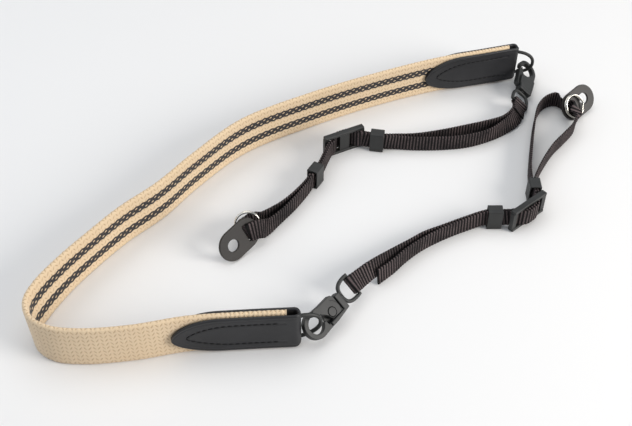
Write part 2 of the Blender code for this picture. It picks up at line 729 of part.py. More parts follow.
def add_split_ring(side, slot_seat):
    """Round wire in two flat turns with a short step between them."""
    pose = side.ring
    centre = place_in(slot_seat, pose.along * PROTECTOR_WIDTH,
                      pose.across * PROTECTOR_WIDTH, pose.out * PROTECTOR_WIDTH)
    radius = (SPLIT_OUTER - SPLIT_WIRE) / 2
    pitch = SPLIT_WIRE + CLEARANCE / 2
    points = []
    steps = 24
    for index in range(int(steps * SPLIT_TURNS) + 1):
        turns = index / steps
        rise = min(1.0, max(0.0, (turns - 0.84) / 0.16))
        angle = 2 * math.pi * turns
        points.append((radius * math.cos(angle), radius * math.sin(angle),
                       (rise - 0.5) * pitch))
    ring = add_wire(points, SPLIT_WIRE / 2, False)
    along = np.array(slot_seat)[:3, 0]
    face = unit(pose.face)
    seat = frame_matrix(centre, along - (along @ face) * face, face)
    finish_part(ring, "split_ring_" + side.name, "nickel", ROOT, seat)


def spot_frame(spot, height):
    """Centre, heading and left-hand direction of a keeper or buckle."""
    turn = math.radians(spot.heading)
    centre = np.array([spot.x * LAY_WIDTH, spot.y * LAY_WIDTH, height / 2])
    ahead = np.array([math.cos(turn), math.sin(turn), 0.0])
    left = np.array([-math.sin(turn), math.cos(turn), 0.0])
    return centre, ahead, left


def add_keeper(name, spot):
    centre, ahead, left = spot_frame(spot, KEEPER_HEIGHT)
    outer = rounded_box(KEEPER_DEPTH, KEEPER_HEIGHT, KEEPER_WALL * 1.5, 0.0, 3)
    inner = rounded_box(KEEPER_DEPTH - 2 * KEEPER_WALL, KEEPER_HEIGHT - 2 * KEEPER_WALL,
                        KEEPER_WALL * 0.5, 0.0, 1)
    item = add_plate([outer, inner], KEEPER_LENGTH)
    finish_part(item, name, "plastic", ROOT, frame_matrix(centre, left, ahead))


def add_buckle(name, spot):
    centre, ahead, left = spot_frame(spot, BUCKLE_HEIGHT)
    outer = rounded_box(BUCKLE_LENGTH, BUCKLE_HEIGHT, BUCKLE_ROUND, 0.0, 4)
    slot_start = BUCKLE_PLATE / 2
    slot_end = BUCKLE_LENGTH / 2 - BUCKLE_END_BAR
    holes = []
    for sign in (1.0, -1.0):
        holes.append(rounded_box(slot_end - slot_start, BUCKLE_HEIGHT - 2 * BUCKLE_RIM,
                                 BUCKLE_RIM * 0.4, sign * (slot_start + slot_end) / 2, 2))
    item = add_plate([outer, *holes], BUCKLE_DEPTH)
    finish_part(item, name, "plastic", ROOT, frame_matrix(centre, ahead, left))


def strap_rows(rows):
    result = []
    for row in rows:
        up = unit((row.tilt_x, row.tilt_y, 1.0))
        result.append([row.x * LAY_WIDTH, row.y * LAY_WIDTH, row.height * THIN_WIDTH, *up, 1.0])
    return result


def paired_rows(side, sign):
    """One layer's rows through keeper, buckle and keeper, left of centre or right."""
    rows = []

    def keeper_rows(spot):
        centre, ahead, left = spot_frame(spot, KEEPER_HEIGHT)
        for share in (-0.5, 0.5):
            place = centre + share * KEEPER_LENGTH * ahead + sign * LAYER_PITCH / 2 * left
            rows.append([*place, 0.0, 0.0, 1.0, 1.0])

    keeper_rows(side.near_keeper)
    centre, ahead, left = spot_frame(side.buckle, BUCKLE_HEIGHT)
    weave = [(row.along * BUCKLE_LENGTH / 2, row.out * BUCKLE_DEPTH) for row in WEAVE]
    weave += [(-along, out) for along, out in weave[-2::-1]]
    weave = np.array(weave)
    slopes = np.vstack([weave[1:], weave[-1:]]) - np.vstack([weave[:1], weave[:-1]])
    for (along, out), slope in zip(weave, slopes):
        slope = unit(slope)
        along -= sign * LAYER_PITCH / 2 * slope[1]
        out += sign * LAYER_PITCH / 2 * slope[0]
        rows.append([*(centre + along * ahead + out * left), 0.0, 0.0, 1.0, 1.0])
    keeper_rows(side.far_keeper)
    return rows


def eye_rows(side, seat):
    """Rows from the sewn end, round the eye's bar and on to the sewn stitches."""
    bar = place_in(seat, EYE_BAR_ALONG, 0.0, 0.0)
    across = np.array(seat)[:3, 1]
    across = across if across[2] > 0 else -across
    first = np.array(strap_rows(side.main[:1])[0])
    reach = first[:3] - bar
    ahead = unit(reach - (reach @ across) * across)
    out = np.cross(ahead, across)
    out = out if out @ np.array(seat)[:3, 2] > 0 else -out
    radius = EYE_WIRE / 2 + CLEARANCE + THIN_THICKNESS / 2
    shares = (0.40, 0.70, 1.00)
    leaves = []
    for sign in (-1.0, 1.0):
        rows = []
        for share in shares:
            place = bar + share * reach + sign * LAYER_PITCH / 2 * out
            up = unit((1 - share) * across + share * first[3:6])
            rows.append([*place, *up, EYE_SQUEEZE + (1 - EYE_SQUEEZE) * share])
        leaves.append(rows)
    wrap = []
    for angle in (-90.0, -135.0, -180.0, -225.0, -270.0):
        turn = math.radians(angle)
        place = bar + radius * (math.cos(turn) * ahead + math.sin(turn) * out)
        wrap.append([*place, *across, EYE_SQUEEZE])
    return leaves[0][::-1] + wrap + leaves[1]


def bend_rows(side, slot_seat):
    across = np.array(slot_seat)[:3, 1]
    across = across if across[2] > 0 else -across
    rows = []
    for row in side.bend:
        place = place_in(slot_seat, row.along * PROTECTOR_WIDTH,
                         row.across * PROTECTOR_WIDTH, row.out * PROTECTOR_WIDTH)
        rows.append([*place, *across, row.narrow])
    return rows


def add_thin_strap(side, seat, slot_seat):
    """One ribbon: sewn end, eye, main run, ring and plate, and the tail run back."""
    main = eye_rows(side, seat) + strap_rows(side.main[1:])
    main += paired_rows(side, 1.0) + strap_rows(side.main_leg)
    tail = strap_rows(side.tail) + paired_rows(side, -1.0) + strap_rows(side.tail_leg)
    rows = main + (tail + bend_rows(side, slot_seat))[::-1]
    points = thin_out(smooth(rows, 0.0005), STRAP_STEP, 11.0)
    item = add_ribbon(points, THIN_WIDTH, THIN_THICKNESS)
    finish_part(item, "thin_strap_" + side.name, "thin_webbing", ROOT)


def add_side(side, path):
    add_tab(side, path)
    seat = add_hook(side)
    slot_seat = add_protector(side)
    add_keeper("keeper_%s_near" % side.name, side.near_keeper)
    add_buckle("ladder_buckle_" + side.name, side.buckle)
    add_keeper("keeper_%s_end" % side.name, side.far_keeper)
    add_thin_strap(side, seat, slot_seat)


def centre_on_floor():
    """Moves the root so that the middle of the box's underside is the origin."""
    bpy.context.view_layer.update()
    places = []
    for item in PARTS.objects:
        if item.type == "MESH":
            places += [item.matrix_world @ vertex.co for vertex in item.data.vertices]
    places = np.array(places)
    low = places.min(axis=0)
    high = places.max(axis=0)
    ROOT.location = (-(low[0] + high[0]) / 2, -(low[1] + high[1]) / 2, -low[2])


clear_scene()
PARTS = make_collection("camera_strap")
ROOT = add_empty("strap_root", None, Matrix.Identity(4))
BAND_PATH = band_path()
add_wide_band(BAND_PATH)
add_side(FRONT, BAND_PATH)
add_side(FAR, BAND_PATH[::-1])
centre_on_floor()
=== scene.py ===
"""Looks for the webbing camera strap: woven band, leather tabs and lug protectors,
ribbed thin straps with stitching, snap hooks, buckles, keepers and rings, on a pale floor."""
import math
from collections import namedtuple

import bmesh
import bpy
import numpy as np
from mathutils import Matrix, Vector


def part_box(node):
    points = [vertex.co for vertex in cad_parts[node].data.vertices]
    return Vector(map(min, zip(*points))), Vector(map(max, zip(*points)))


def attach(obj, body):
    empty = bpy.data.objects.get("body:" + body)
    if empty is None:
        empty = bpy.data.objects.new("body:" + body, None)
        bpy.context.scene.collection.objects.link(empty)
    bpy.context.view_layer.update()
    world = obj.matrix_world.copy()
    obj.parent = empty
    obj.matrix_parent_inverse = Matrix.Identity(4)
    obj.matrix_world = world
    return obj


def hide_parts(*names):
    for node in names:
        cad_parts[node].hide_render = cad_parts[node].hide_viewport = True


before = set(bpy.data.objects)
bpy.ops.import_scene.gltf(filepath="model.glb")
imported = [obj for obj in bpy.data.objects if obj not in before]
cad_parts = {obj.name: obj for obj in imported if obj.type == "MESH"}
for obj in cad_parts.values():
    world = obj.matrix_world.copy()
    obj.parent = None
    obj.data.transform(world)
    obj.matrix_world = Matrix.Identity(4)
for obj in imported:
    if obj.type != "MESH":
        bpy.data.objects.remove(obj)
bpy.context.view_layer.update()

bl_info = {
    "name": "Webbing camera strap",
    "version": (1, 0, 0),
    "blender": (4, 5, 0),
    "location": "View3D > Sidebar > Camera strap",
    "description": "Builds the finished look of a webbing camera strap on its packed parts",
    "category": "Object",
}

# Sizes in metres, most of which the source of the solids names too, and shares of them
LAY_WIDTH = 0.300
CLEARANCE = 0.0003
TAB_LENGTH = 0.061
TAB_WIDTH = 0.023
TAB_LEATHER = 0.0016
TAB_POINT = 0.024
TAB_TIP_SHARE = 0.06
TAB_POINT_POWER = 0.56
UPPER_CORNER_SHARE = 0.5
D_WIRE = 0.0020
D_BAR = 0.0150
D_DEPTH = 0.0128
D_FULLNESS = 0.80
THIN_WIDTH = 0.010
THIN_THICKNESS = 0.0010
LAYER_PITCH = 0.0014
KEEPER_WALL = 0.0008
KEEPER_LENGTH = 0.0078
KEEPER_HEIGHT = 0.0124
KEEPER_DEPTH = 0.0064
BUCKLE_LENGTH = 0.0255
BUCKLE_DEPTH = 0.0024
BUCKLE_END_BAR = 0.0030
BUCKLE_PLATE = 0.0060
BUCKLE_RIM = 0.0015
BUCKLE_ROUND = 0.0022
BUCKLE_HEIGHT = 0.0140
HOOK_DEPTH = 0.0050
HOOK_LOOP_DEPTH = 0.0030
HOOK_LOOP_OUTER = 0.0069
HOOK_LOOP_INNER = 0.0044
HOOK_SPINE = 0.0021
HOOK_PIN_ALONG = 0.0107
HOOK_PIN_ACROSS = -0.0010
HOOK_PIN_RADIUS = 0.0022
HOOK_HUB_RADIUS = 0.0029
HOOK_CHEEK = 0.0012
HOOK_LEVER_END = 0.0162
LEVER_LINE_RADIUS = HOOK_HUB_RADIUS * 1.85
LEVER_LINE_ANGLES = (-38.0, 62.0)
LEVER_LINE_WIRE = 0.00016
HOOK_COLLAR_START = 0.0170
HOOK_COLLAR_END = 0.0204
EYE_WIRE = 0.0020
EYE_SQUEEZE = 0.92
EYE_DEPTH = 0.0093
EYE_FULLNESS = 0.60
EYE_STEM_RADIUS = 0.0014
EYE_BAR = THIN_WIDTH * EYE_SQUEEZE + EYE_WIRE + 2 * CLEARANCE
EYE_BAR_ALONG = HOOK_COLLAR_END + CLEARANCE + EYE_WIRE / 2 + EYE_DEPTH
SPLIT_OUTER = 0.0140
SPLIT_WIRE = 0.0011
SPLIT_TURNS = 1.85
SPLIT_RISE_START = 0.84
SPLIT_RISE_TURNS = 0.16
SPLIT_STEPS = 80
PROTECTOR_LENGTH = 0.0260
PROTECTOR_WIDTH = 0.0165
PROTECTOR_LEATHER = 0.0015
PROTECTOR_HOLE = 0.0066
PROTECTOR_SLOT_WIDTH = 0.0034
PROTECTOR_SLOT_LENGTH = 0.0110
PROTECTOR_SLOT_PAST_CENTRE = 0.0010
PROTECTOR_SLOT_OPENING = (0.86, 0.87)
PROTECTOR_SLOT_ROUND = 0.34
PROTECTOR_ARC_CENTRE = (PROTECTOR_LENGTH - PROTECTOR_WIDTH) / 2

# Widths that edges are rounded by, in metres
KEEPER_ROUNDING = 0.00024
BUCKLE_ROUNDING = 0.00038
RAIL_ROUNDING = 0.00045
LOOP_ROUNDING = 0.00095
SPINE_ROUNDING = 0.00050
CHEEK_ROUNDING = 0.00030
PIN_ROUNDING = 0.00020
LEVER_ROUNDING = 0.00036
PROTECTOR_ROUNDING = 0.00030

# Heights and spreads of surface relief, in metres
WEAVE_HEIGHT = 0.00006
EDGE_LOOP_HEIGHT = 0.00008
EDGE_LOOP_HEIGHT_IN_TAB = 0.00020
EDGE_LOOP_SPREAD = 0.0016
CREASE_DEPTH = 0.00018
CREASE_SPREAD = 0.00030
GROOVE_DEPTH = 0.00030
GROOVE_SPREAD = 0.00055
STITCH_SUNK = 0.00008

# The stitch lines' meeting curve: length as a share of the tab's point, and two powers
STITCH_POINT_SHARE = 0.92
STITCH_POINT_POWERS = (1.9, 0.72)
# The windows for the D-ring in a tab's fold: depth as a share of the fold's radius, and
# turn as a share of the ring's
TAB_WINDOW_DEPTH = 1.6
TAB_WINDOW_TURN = 0.8
# Stitches: width and height of a tab's thread, and length, width and height on a thin strap
TAB_THREAD = (0.00070, 0.00048)
STRAP_STITCH = (0.0015, 0.00038, 0.00034)
# Distances of the stitch rows from a thin strap's sewn end, and of stitches in a row
STRAP_STITCH_ROWS = (0.0012, 0.0030, 0.0048)
STRAP_STITCH_STEP = 0.0018

# Largest angles in degrees that pieces are shaded smooth over
PLATE_SMOOTH = 40.0
TAB_SMOOTH = 50.0
EYE_SMOOTH = 60.0
WIRE_SMOOTH = 70.0
WOVEN_SMOOTH = 80.0

# Steps across a strip and along a path that their shapes are worked out at, in metres
TAB_SECTION_STEP = 0.00036
TAB_ROW_STEP = 0.00045
THIN_SECTION_STEP = 0.0011
BAND_PATH_STEP = 0.0003
THIN_PATH_STEP = 0.0002
# Points of a rolled strip or bent wire that lie closer than this are one, in metres
MERGE_DISTANCE = 1e-6
# Turns a rod or stitch made upright so that it lies along X
ONTO_X = Matrix.Rotation(math.radians(90), 4, "Y")

# Camera above the front edge of the table, looking down at the strap
CAMERA_PITCH = 45.0
CAMERA_LENS = 55.54
CAMERA_PLACE = (-0.01541, -0.38450, 0.37313)

# The band's dimples, in millimetres, and their slope across the band
DIMPLE_WIDTH = 0.42
DIMPLE_LENGTH = 1.05
DIMPLE_SLOPE = 0.6
# The band's chain stripes: places across it as shares of its width, and leads in radians
CHAIN_STRIPES = ((0.31, 0.0), (0.69, 0.37))
# A chain's half width where its dark starts to fade and has gone, its edge's wave, and the
# light holes between its yarns with their distance from the chain's middle, in millimetres
CHAIN_FADE = (2.12, 2.34)
CHAIN_WAVE = 0.26
CHAIN_HOLE_OFF = 0.90
CHAIN_HOLE_LENGTH = 0.76
CHAIN_HOLE_WIDTH = 0.48
CHAIN_HOLE_SLANT = 0.8
# The painted highlight colour of the thin webbing's ribs where they catch the light
PAINTED_RIB_HIGHLIGHT = (0.098, 0.071, 0.071)

# Soft round lamps that face the middle of the table, and the sky's light
Lamp = namedtuple("Lamp", "name place size power colour")
LAMPS = [
    Lamp("window", (1.10, -0.44, 0.54), 0.7, 15.5, (1.0, 0.965, 0.92)),
    Lamp("overhead", (-0.10, 0.35, 1.3), 1.6, 8.8, (1.0, 0.985, 0.96)),
    Lamp("sky", (-1.1, -0.1, 0.8), 1.2, 4.0, (0.80, 0.89, 1.0)),
]
SKY_COLOUR = (0.86, 0.92, 1.0, 1.0)
SKY_STRENGTH = 0.41


# Route rows: x and y are shares of LAY_WIDTH, height is the ribbon's middle as a share of
# the ribbon's width, and the two tilts lean its upper edge along X and Y. A row that names
# neither stands upright on the table.
BandRow = namedtuple("BandRow", "x y tilt_x tilt_y", defaults=(0.0, 0.0))
StrapRow = namedtuple("StrapRow", "x y height tilt_x tilt_y", defaults=(0.50, 0.0, 0.0))

BAND_ROUTE = [
    BandRow(-0.023, -0.293),
    BandRow(-0.120, -0.299),
    BandRow(-0.197, -0.306),
    BandRow(-0.283, -0.324),
    BandRow(-0.360, -0.331, 0.00, 0.02),
    BandRow(-0.407, -0.325, 0.02, 0.03),
    BandRow(-0.437, -0.305, -0.02, 0.02),
    BandRow(-0.449, -0.273, -0.06, 0.02),
    BandRow(-0.440, -0.238, -0.10, 0.03),
    BandRow(-0.413, -0.185, -0.05, 0.03),
    BandRow(-0.378, -0.132, -0.02, 0.02),
    BandRow(-0.332, -0.070, -0.02, 0.02),
    BandRow(-0.275, -0.009, -0.02, 0.02),
    BandRow(-0.220, 0.068),
    BandRow(-0.137, 0.164, 0.00, 0.02),
    BandRow(-0.008, 0.244),
    BandRow(0.128, 0.311, 0.00, -0.04),
    BandRow(0.248, 0.358, 0.00, -0.02),
    BandRow(0.340, 0.383),
    BandRow(0.4135, 0.4035),
]

# A side is one hook and the thin strap on it. The tail is the free end's run, the main run
# ends round the swivel eye, and a leg runs on from the far keeper to the leather plate.
Side = namedtuple(
    "Side",
    "name swing hook tail main near_keeper buckle far_keeper tail_leg main_leg plate ring bend",
)
# Keepers and buckles stand on the table at a spot, turned to a heading in degrees.
Spot = namedtuple("Spot", "x y heading")
# The hook's loop centre: z is a share of the loop's outer radius.
HookPose = namedtuple("HookPose", "x y z along face")
# The plate's hole centre: z is a share of the plate's width.
PlatePose = namedtuple("PlatePose", "x y z along face")
# Places from the plate's slot, as shares of the plate's width, and the ribbon's width share.
BendRow = namedtuple("BendRow", "along out across narrow")
RingPose = namedtuple("RingPose", "along out across face")

FRONT = Side(
    name="front",
    swing=13.0,
    hook=HookPose(-0.0013, -0.2807, 1.28, (0.590, 0.806, 0.030), (0.508, -0.400, 0.763)),
    tail=[
        StrapRow(0.103, -0.169, 0.51, -0.08, 0.10),
        StrapRow(0.131, -0.143, 0.51, -0.06, 0.08),
        StrapRow(0.152, -0.120, 0.51, -0.04, 0.05),
        StrapRow(0.180, -0.095),
        StrapRow(0.217, -0.070),
        StrapRow(0.263, -0.047, 0.54),
    ],
    main=[
        StrapRow(0.091, -0.164, 0.90, -0.45, 0.30),
        StrapRow(0.125, -0.133, 0.70, -0.33, 0.34),
        StrapRow(0.161, -0.102, 0.56, -0.20, 0.20),
        StrapRow(0.187, -0.079, 0.51, -0.05, 0.05),
        StrapRow(0.217, -0.063),
        StrapRow(0.263, -0.042, 0.54),
    ],
    near_keeper=Spot(0.315, -0.031, 0.0),
    buckle=Spot(0.375, -0.018, 40.0),
    far_keeper=Spot(0.395, 0.037, 90.0),
    tail_leg=[
        StrapRow(0.411, 0.086, 0.51),
        StrapRow(0.431, 0.124),
        StrapRow(0.452, 0.157),
        StrapRow(0.477, 0.187),
        StrapRow(0.501, 0.218, 0.51),
        StrapRow(0.511, 0.243, 0.66, -0.10, 0.00),
    ],
    main_leg=[
        StrapRow(0.397, 0.091, 0.51),
        StrapRow(0.405, 0.133),
        StrapRow(0.416, 0.184),
        StrapRow(0.428, 0.233),
        StrapRow(0.441, 0.272),
        StrapRow(0.460, 0.298),
        StrapRow(0.482, 0.307, 0.50, -0.10, 0.10),
    ],
    plate=PlatePose(0.533, 0.297, 0.50, (0.738, 0.662, 0.135), (0.450, -0.630, 0.630)),
    ring=RingPose(0.03, 0.15, 0.03, (0.450, -0.630, 0.630)),
    bend=[
        BendRow(-0.20, 0.31, -0.18, 0.90),
        BendRow(0.00, 0.26, 0.00, 0.86),
        BendRow(0.00, 0.00, 0.00, 0.90),
        BendRow(0.00, -0.18, 0.00, 0.96),
        BendRow(0.02, -0.41, 0.17, 1.00),
    ],
)

FAR = Side(
    name="far",
    swing=-22.0,
    hook=HookPose(0.4345, 0.3890, 1.09, (-0.276, -0.960, -0.055), (-0.620, 0.200, -0.760)),
    tail=[
        StrapRow(0.398, 0.263, 0.54, -0.60, 0.30),
        StrapRow(0.384, 0.246, 0.51, -0.40, 0.25),
        StrapRow(0.365, 0.233, 0.50, -0.20, 0.10),
        StrapRow(0.327, 0.220),
        StrapRow(0.287, 0.207),
        StrapRow(0.240, 0.193),
        StrapRow(0.190, 0.182, 0.51),
        StrapRow(0.153, 0.179, 0.55),
    ],
    main=[
        StrapRow(0.399, 0.257, 0.56, -0.70, 0.35),
        StrapRow(0.389, 0.242, 0.52, -0.45, 0.30),
        StrapRow(0.368, 0.221, 0.50, -0.20, 0.20),
        StrapRow(0.336, 0.197),
        StrapRow(0.291, 0.179),
        StrapRow(0.239, 0.172),
        StrapRow(0.190, 0.171, 0.51),
        StrapRow(0.153, 0.173, 0.55),
    ],
    near_keeper=Spot(0.117, 0.176, 170.0),
    buckle=Spot(0.053, 0.172, 207.0),
    far_keeper=Spot(-0.001, 0.078, 241.0),
    tail_leg=[
        StrapRow(-0.019, 0.051, 0.53),
        StrapRow(-0.053, 0.005),
        StrapRow(-0.077, -0.017),
        StrapRow(-0.101, -0.033, 0.52),
    ],
    main_leg=[
        StrapRow(-0.014, 0.049, 0.53),
        StrapRow(-0.039, 0.007),
        StrapRow(-0.065, -0.029),
        StrapRow(-0.086, -0.056, 0.59, -0.20, 0.10),
    ],
    plate=PlatePose(-0.142, -0.104, 0.46, (-0.657, -0.729, -0.169), (0.606, -0.650, 0.454)),
    ring=RingPose(-0.33, -0.37, -0.01, (0.090, -0.905, 0.415)),
    bend=[
        BendRow(-0.53, -0.41, 0.05, 0.90),
        BendRow(-0.33, -0.34, -0.04, 0.86),
        BendRow(-0.15, -0.36, -0.06, 0.88),
        BendRow(-0.01, -0.28, -0.02, 0.92),
        BendRow(0.00, 0.00, 0.00, 0.95),
        BendRow(0.00, 0.12, 0.00, 0.97),
        BendRow(-0.18, 0.14, 0.06, 1.00),
        BendRow(-0.38, 0.14, 0.15, 1.00),
    ],
)

SIDES = (FRONT, FAR)

# The ribbon pair's way through a buckle: along the buckle and out of its plane, as
# shares of half its length and of its depth. The second half mirrors the first.
WeaveRow = namedtuple("WeaveRow", "along out")
WEAVE = [
    WeaveRow(-0.80, 1.18),
    WeaveRow(-0.64, 0.75),
    WeaveRow(-0.51, 0.00),
    WeaveRow(-0.38, -0.75),
    WeaveRow(-0.21, -1.14),
    WeaveRow(0.00, -1.18),
]

# Snap hook shapes seen on the lever's face: along runs from the loop to the eye and
# across towards the lever, both as shares of the loop's outer radius.
OutlinePoint = namedtuple("OutlinePoint", "along across")
LEVER_NOSE = [
    OutlinePoint(2.14, 0.81),
    OutlinePoint(1.07, 0.84),
    OutlinePoint(0.49, 0.89),
    OutlinePoint(0.38, 0.90),
    OutlinePoint(0.08, 0.60),
    OutlinePoint(0.29, 0.51),
    OutlinePoint(0.67, 0.38),
    OutlinePoint(0.90, 0.13),
]
CHEEK = [
    OutlinePoint(0.72, -0.75),
    OutlinePoint(2.75, -0.75),
    OutlinePoint(2.75, 0.40),
    OutlinePoint(2.10, 0.62),
    OutlinePoint(1.20, 0.62),
    OutlinePoint(0.95, -0.20),
]
TIP_OUTER_ANGLE = 70.0
TIP_INNER_ANGLE = 88.0
STUB_ANGLE = 335.0


def unit(vector):
    return np.asarray(vector, float) / np.linalg.norm(vector)


def frame_matrix(origin, x_axis, z_axis):
    """A placing matrix with the given X direction and nearly the given Z direction."""
    x = unit(x_axis)
    y = unit(np.cross(z_axis, x))
    z = np.cross(x, y)
    matrix = Matrix.Identity(4)
    for column, axis in enumerate((x, y, z, np.asarray(origin, float))):
        for row in range(3):
            matrix[row][column] = float(axis[row])
    return matrix


def smooth(points, step):
    """Catmull-Rom curve through rows whose first three columns are a place."""
    points = np.asarray(points, float)
    first = 2 * points[0] - points[1]
    last = 2 * points[-1] - points[-2]
    points = np.vstack([first, points, last])
    result = []
    for before, start, end, after in zip(points, points[1:], points[2:], points[3:]):
        lengths = [np.linalg.norm(b[:3] - a[:3]) ** 0.5
                   for a, b in ((before, start), (start, end), (end, after))]
        t0 = 0.0
        t1 = t0 + lengths[0]
        t2 = t1 + lengths[1]
        t3 = t2 + lengths[2]
        count = max(1, int(np.linalg.norm(end[:3] - start[:3]) / step))
        for index in range(count):
            t = t1 + (t2 - t1) * index / count
            a1 = (t1 - t) / (t1 - t0) * before + (t - t0) / (t1 - t0) * start
            a2 = (t2 - t) / (t2 - t1) * start + (t - t1) / (t2 - t1) * end
            a3 = (t3 - t) / (t3 - t2) * end + (t - t2) / (t3 - t2) * after
            b1 = (t2 - t) / (t2 - t0) * a1 + (t - t0) / (t2 - t0) * a2
            b2 = (t3 - t) / (t3 - t1) * a2 + (t - t1) / (t3 - t1) * a3
            result.append((t2 - t) / (t2 - t1) * b1 + (t - t1) / (t2 - t1) * b2)
    result.append(points[-2])
    return np.array(result)


def tangents(points):
    ahead = np.vstack([points[1:, :3], points[-1:, :3]])
    behind = np.vstack([points[:1, :3], points[:-1, :3]])
    steps = ahead - behind
    return steps / np.linalg.norm(steps, axis=1)[:, None]


def run_lengths(points):
    steps = np.linalg.norm(np.diff(points[:, :3], axis=0), axis=1)
    return np.concatenate([[0.0], np.cumsum(steps)])


def evenly(points, step, start=0.0, end=0.0):
    """Rows at an even step between two lengths along a path, and those lengths."""
    lengths = run_lengths(points)
    end = end if end > 0 else lengths[-1] + end
    count = max(2, round((end - start) / step))
    at = np.linspace(start, end, count + 1)
    rows = np.array([np.interp(at, lengths, column) for column in points.T]).T
    return rows, at - start


def arc(radius, start, end, steps, centre=(0.0, 0.0)):
    turns = [math.radians(start + (end - start) * index / steps) for index in range(steps + 1)]
    return [(centre[0] + radius * math.cos(turn), centre[1] + radius * math.sin(turn))
            for turn in turns]


def d_shape(bar, depth, fullness, steps=56):
    """A D outline in the XY plane: a straight bar along Y and a bow towards +X."""
    points = []
    for index in range(steps + 1):
        turn = math.radians(-90.0 + 180.0 * index / steps)
        rise = math.copysign(abs(math.sin(turn)) ** (fullness + 0.1), turn)
        points.append((depth * abs(math.cos(turn)) ** fullness, bar / 2 * rise, 0.0))
    return points


def rounded_box(width, height, radius, centre=0.0, steps=6):
    """A rounded rectangle in the XY plane, shifted along X."""
    points = []
    corners = ((1, 1, 0.0), (-1, 1, 90.0), (-1, -1, 180.0), (1, -1, 270.0))
    for side_x, side_y, start in corners:
        middle = (centre + side_x * (width / 2 - radius), side_y * (height / 2 - radius))
        points += arc(radius, start, start + 90.0, steps, middle)
    return points


def scaled(outline):
    return [(p.along * HOOK_LOOP_OUTER, p.across * HOOK_LOOP_OUTER) for p in outline]


def laid(row, height):
    """The place that a row's x and y name, at a height over the table."""
    return np.array([row.x * LAY_WIDTH, row.y * LAY_WIDTH, height])


def strap_rows(rows):
    return [[*laid(row, row.height * THIN_WIDTH), *unit((row.tilt_x, row.tilt_y, 1.0)), 1.0]
            for row in rows]


def spot_frame(spot, height):
    """Centre, heading and left-hand direction of a keeper or buckle."""
    turn = math.radians(spot.heading)
    ahead = np.array([math.cos(turn), math.sin(turn), 0.0])
    left = np.array([-math.sin(turn), math.cos(turn), 0.0])
    return laid(spot, height / 2), ahead, left


def frame_shift():
    """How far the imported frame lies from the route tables, from one keeper's place."""
    low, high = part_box("keeper_front_near")
    centre, _, _ = spot_frame(FRONT.near_keeper, KEEPER_HEIGHT)
    return np.array((low + high) / 2) - centre


SHIFT = frame_shift()


def band_path():
    """The wide band's middle line from one tab's fold to the other's, finely sampled."""
    width = bpy.context.scene.strap_sizes.band_width
    rows = []
    for row in BAND_ROUTE:
        up = unit((row.tilt_x, row.tilt_y, 1.0))
        rows.append([*laid(row, width / 2 * up[2]), *up, 1.0])
    path = smooth(rows, BAND_PATH_STEP)
    path[:, :3] += SHIFT
    return path


def place_in(seat, along, across, out):
    """A place in a seat's frame, in world coordinates."""
    matrix = np.array(seat)
    return matrix[:3, 3] + matrix[:3, :3] @ np.array([along, across, out])


def plate_place(seat, row):
    """A place that a row gives in shares of the plate's width."""
    return place_in(seat, row.along * PROTECTOR_WIDTH, row.across * PROTECTOR_WIDTH,
                    row.out * PROTECTOR_WIDTH)


def up_across(seat):
    """A seat's Y direction, turned to point up."""
    across = np.array(seat)[:3, 1]
    return across if across[2] > 0 else -across


def hook_seat(side):
    pose = side.hook
    return frame_matrix(laid(pose, pose.z * HOOK_LOOP_OUTER) + SHIFT, pose.along, pose.face)


def plate_seat(side):
    """The protector's place: X runs from the slot to the hole, Z out of its face."""
    pose = side.plate
    hole = laid(pose, pose.z * PROTECTOR_WIDTH)
    centre = hole - unit(pose.along) * PROTECTOR_ARC_CENTRE + SHIFT
    return frame_matrix(centre, pose.along, pose.face)


def slot_seat(side):
    slot_at = -PROTECTOR_ARC_CENTRE - PROTECTOR_SLOT_PAST_CENTRE
    return plate_seat(side) @ Matrix.Translation((slot_at, 0.0, 0.0))


def paired_rows(side, sign):
    """One layer's rows through keeper, buckle and keeper, left of centre or right."""
    rows = []

    def keeper_rows(spot):
        centre, ahead, left = spot_frame(spot, KEEPER_HEIGHT)
        for share in (-0.5, 0.5):
            place = centre + share * KEEPER_LENGTH * ahead + sign * LAYER_PITCH / 2 * left
            rows.append([*place, 0.0, 0.0, 1.0, 1.0])

    keeper_rows(side.near_keeper)
    centre, ahead, left = spot_frame(side.buckle, BUCKLE_HEIGHT)
    weave = [(row.along * BUCKLE_LENGTH / 2, row.out * BUCKLE_DEPTH) for row in WEAVE]
    weave += [(-along, out) for along, out in weave[-2::-1]]
    weave = np.array(weave)
    slopes = np.vstack([weave[1:], weave[-1:]]) - np.vstack([weave[:1], weave[:-1]])
    for (along, out), slope in zip(weave, slopes):
        slope = unit(slope)
        along -= sign * LAYER_PITCH / 2 * slope[1]
        out += sign * LAYER_PITCH / 2 * slope[0]
        rows.append([*(centre + along * ahead + out * left), 0.0, 0.0, 1.0, 1.0])
    keeper_rows(side.far_keeper)
    return rows


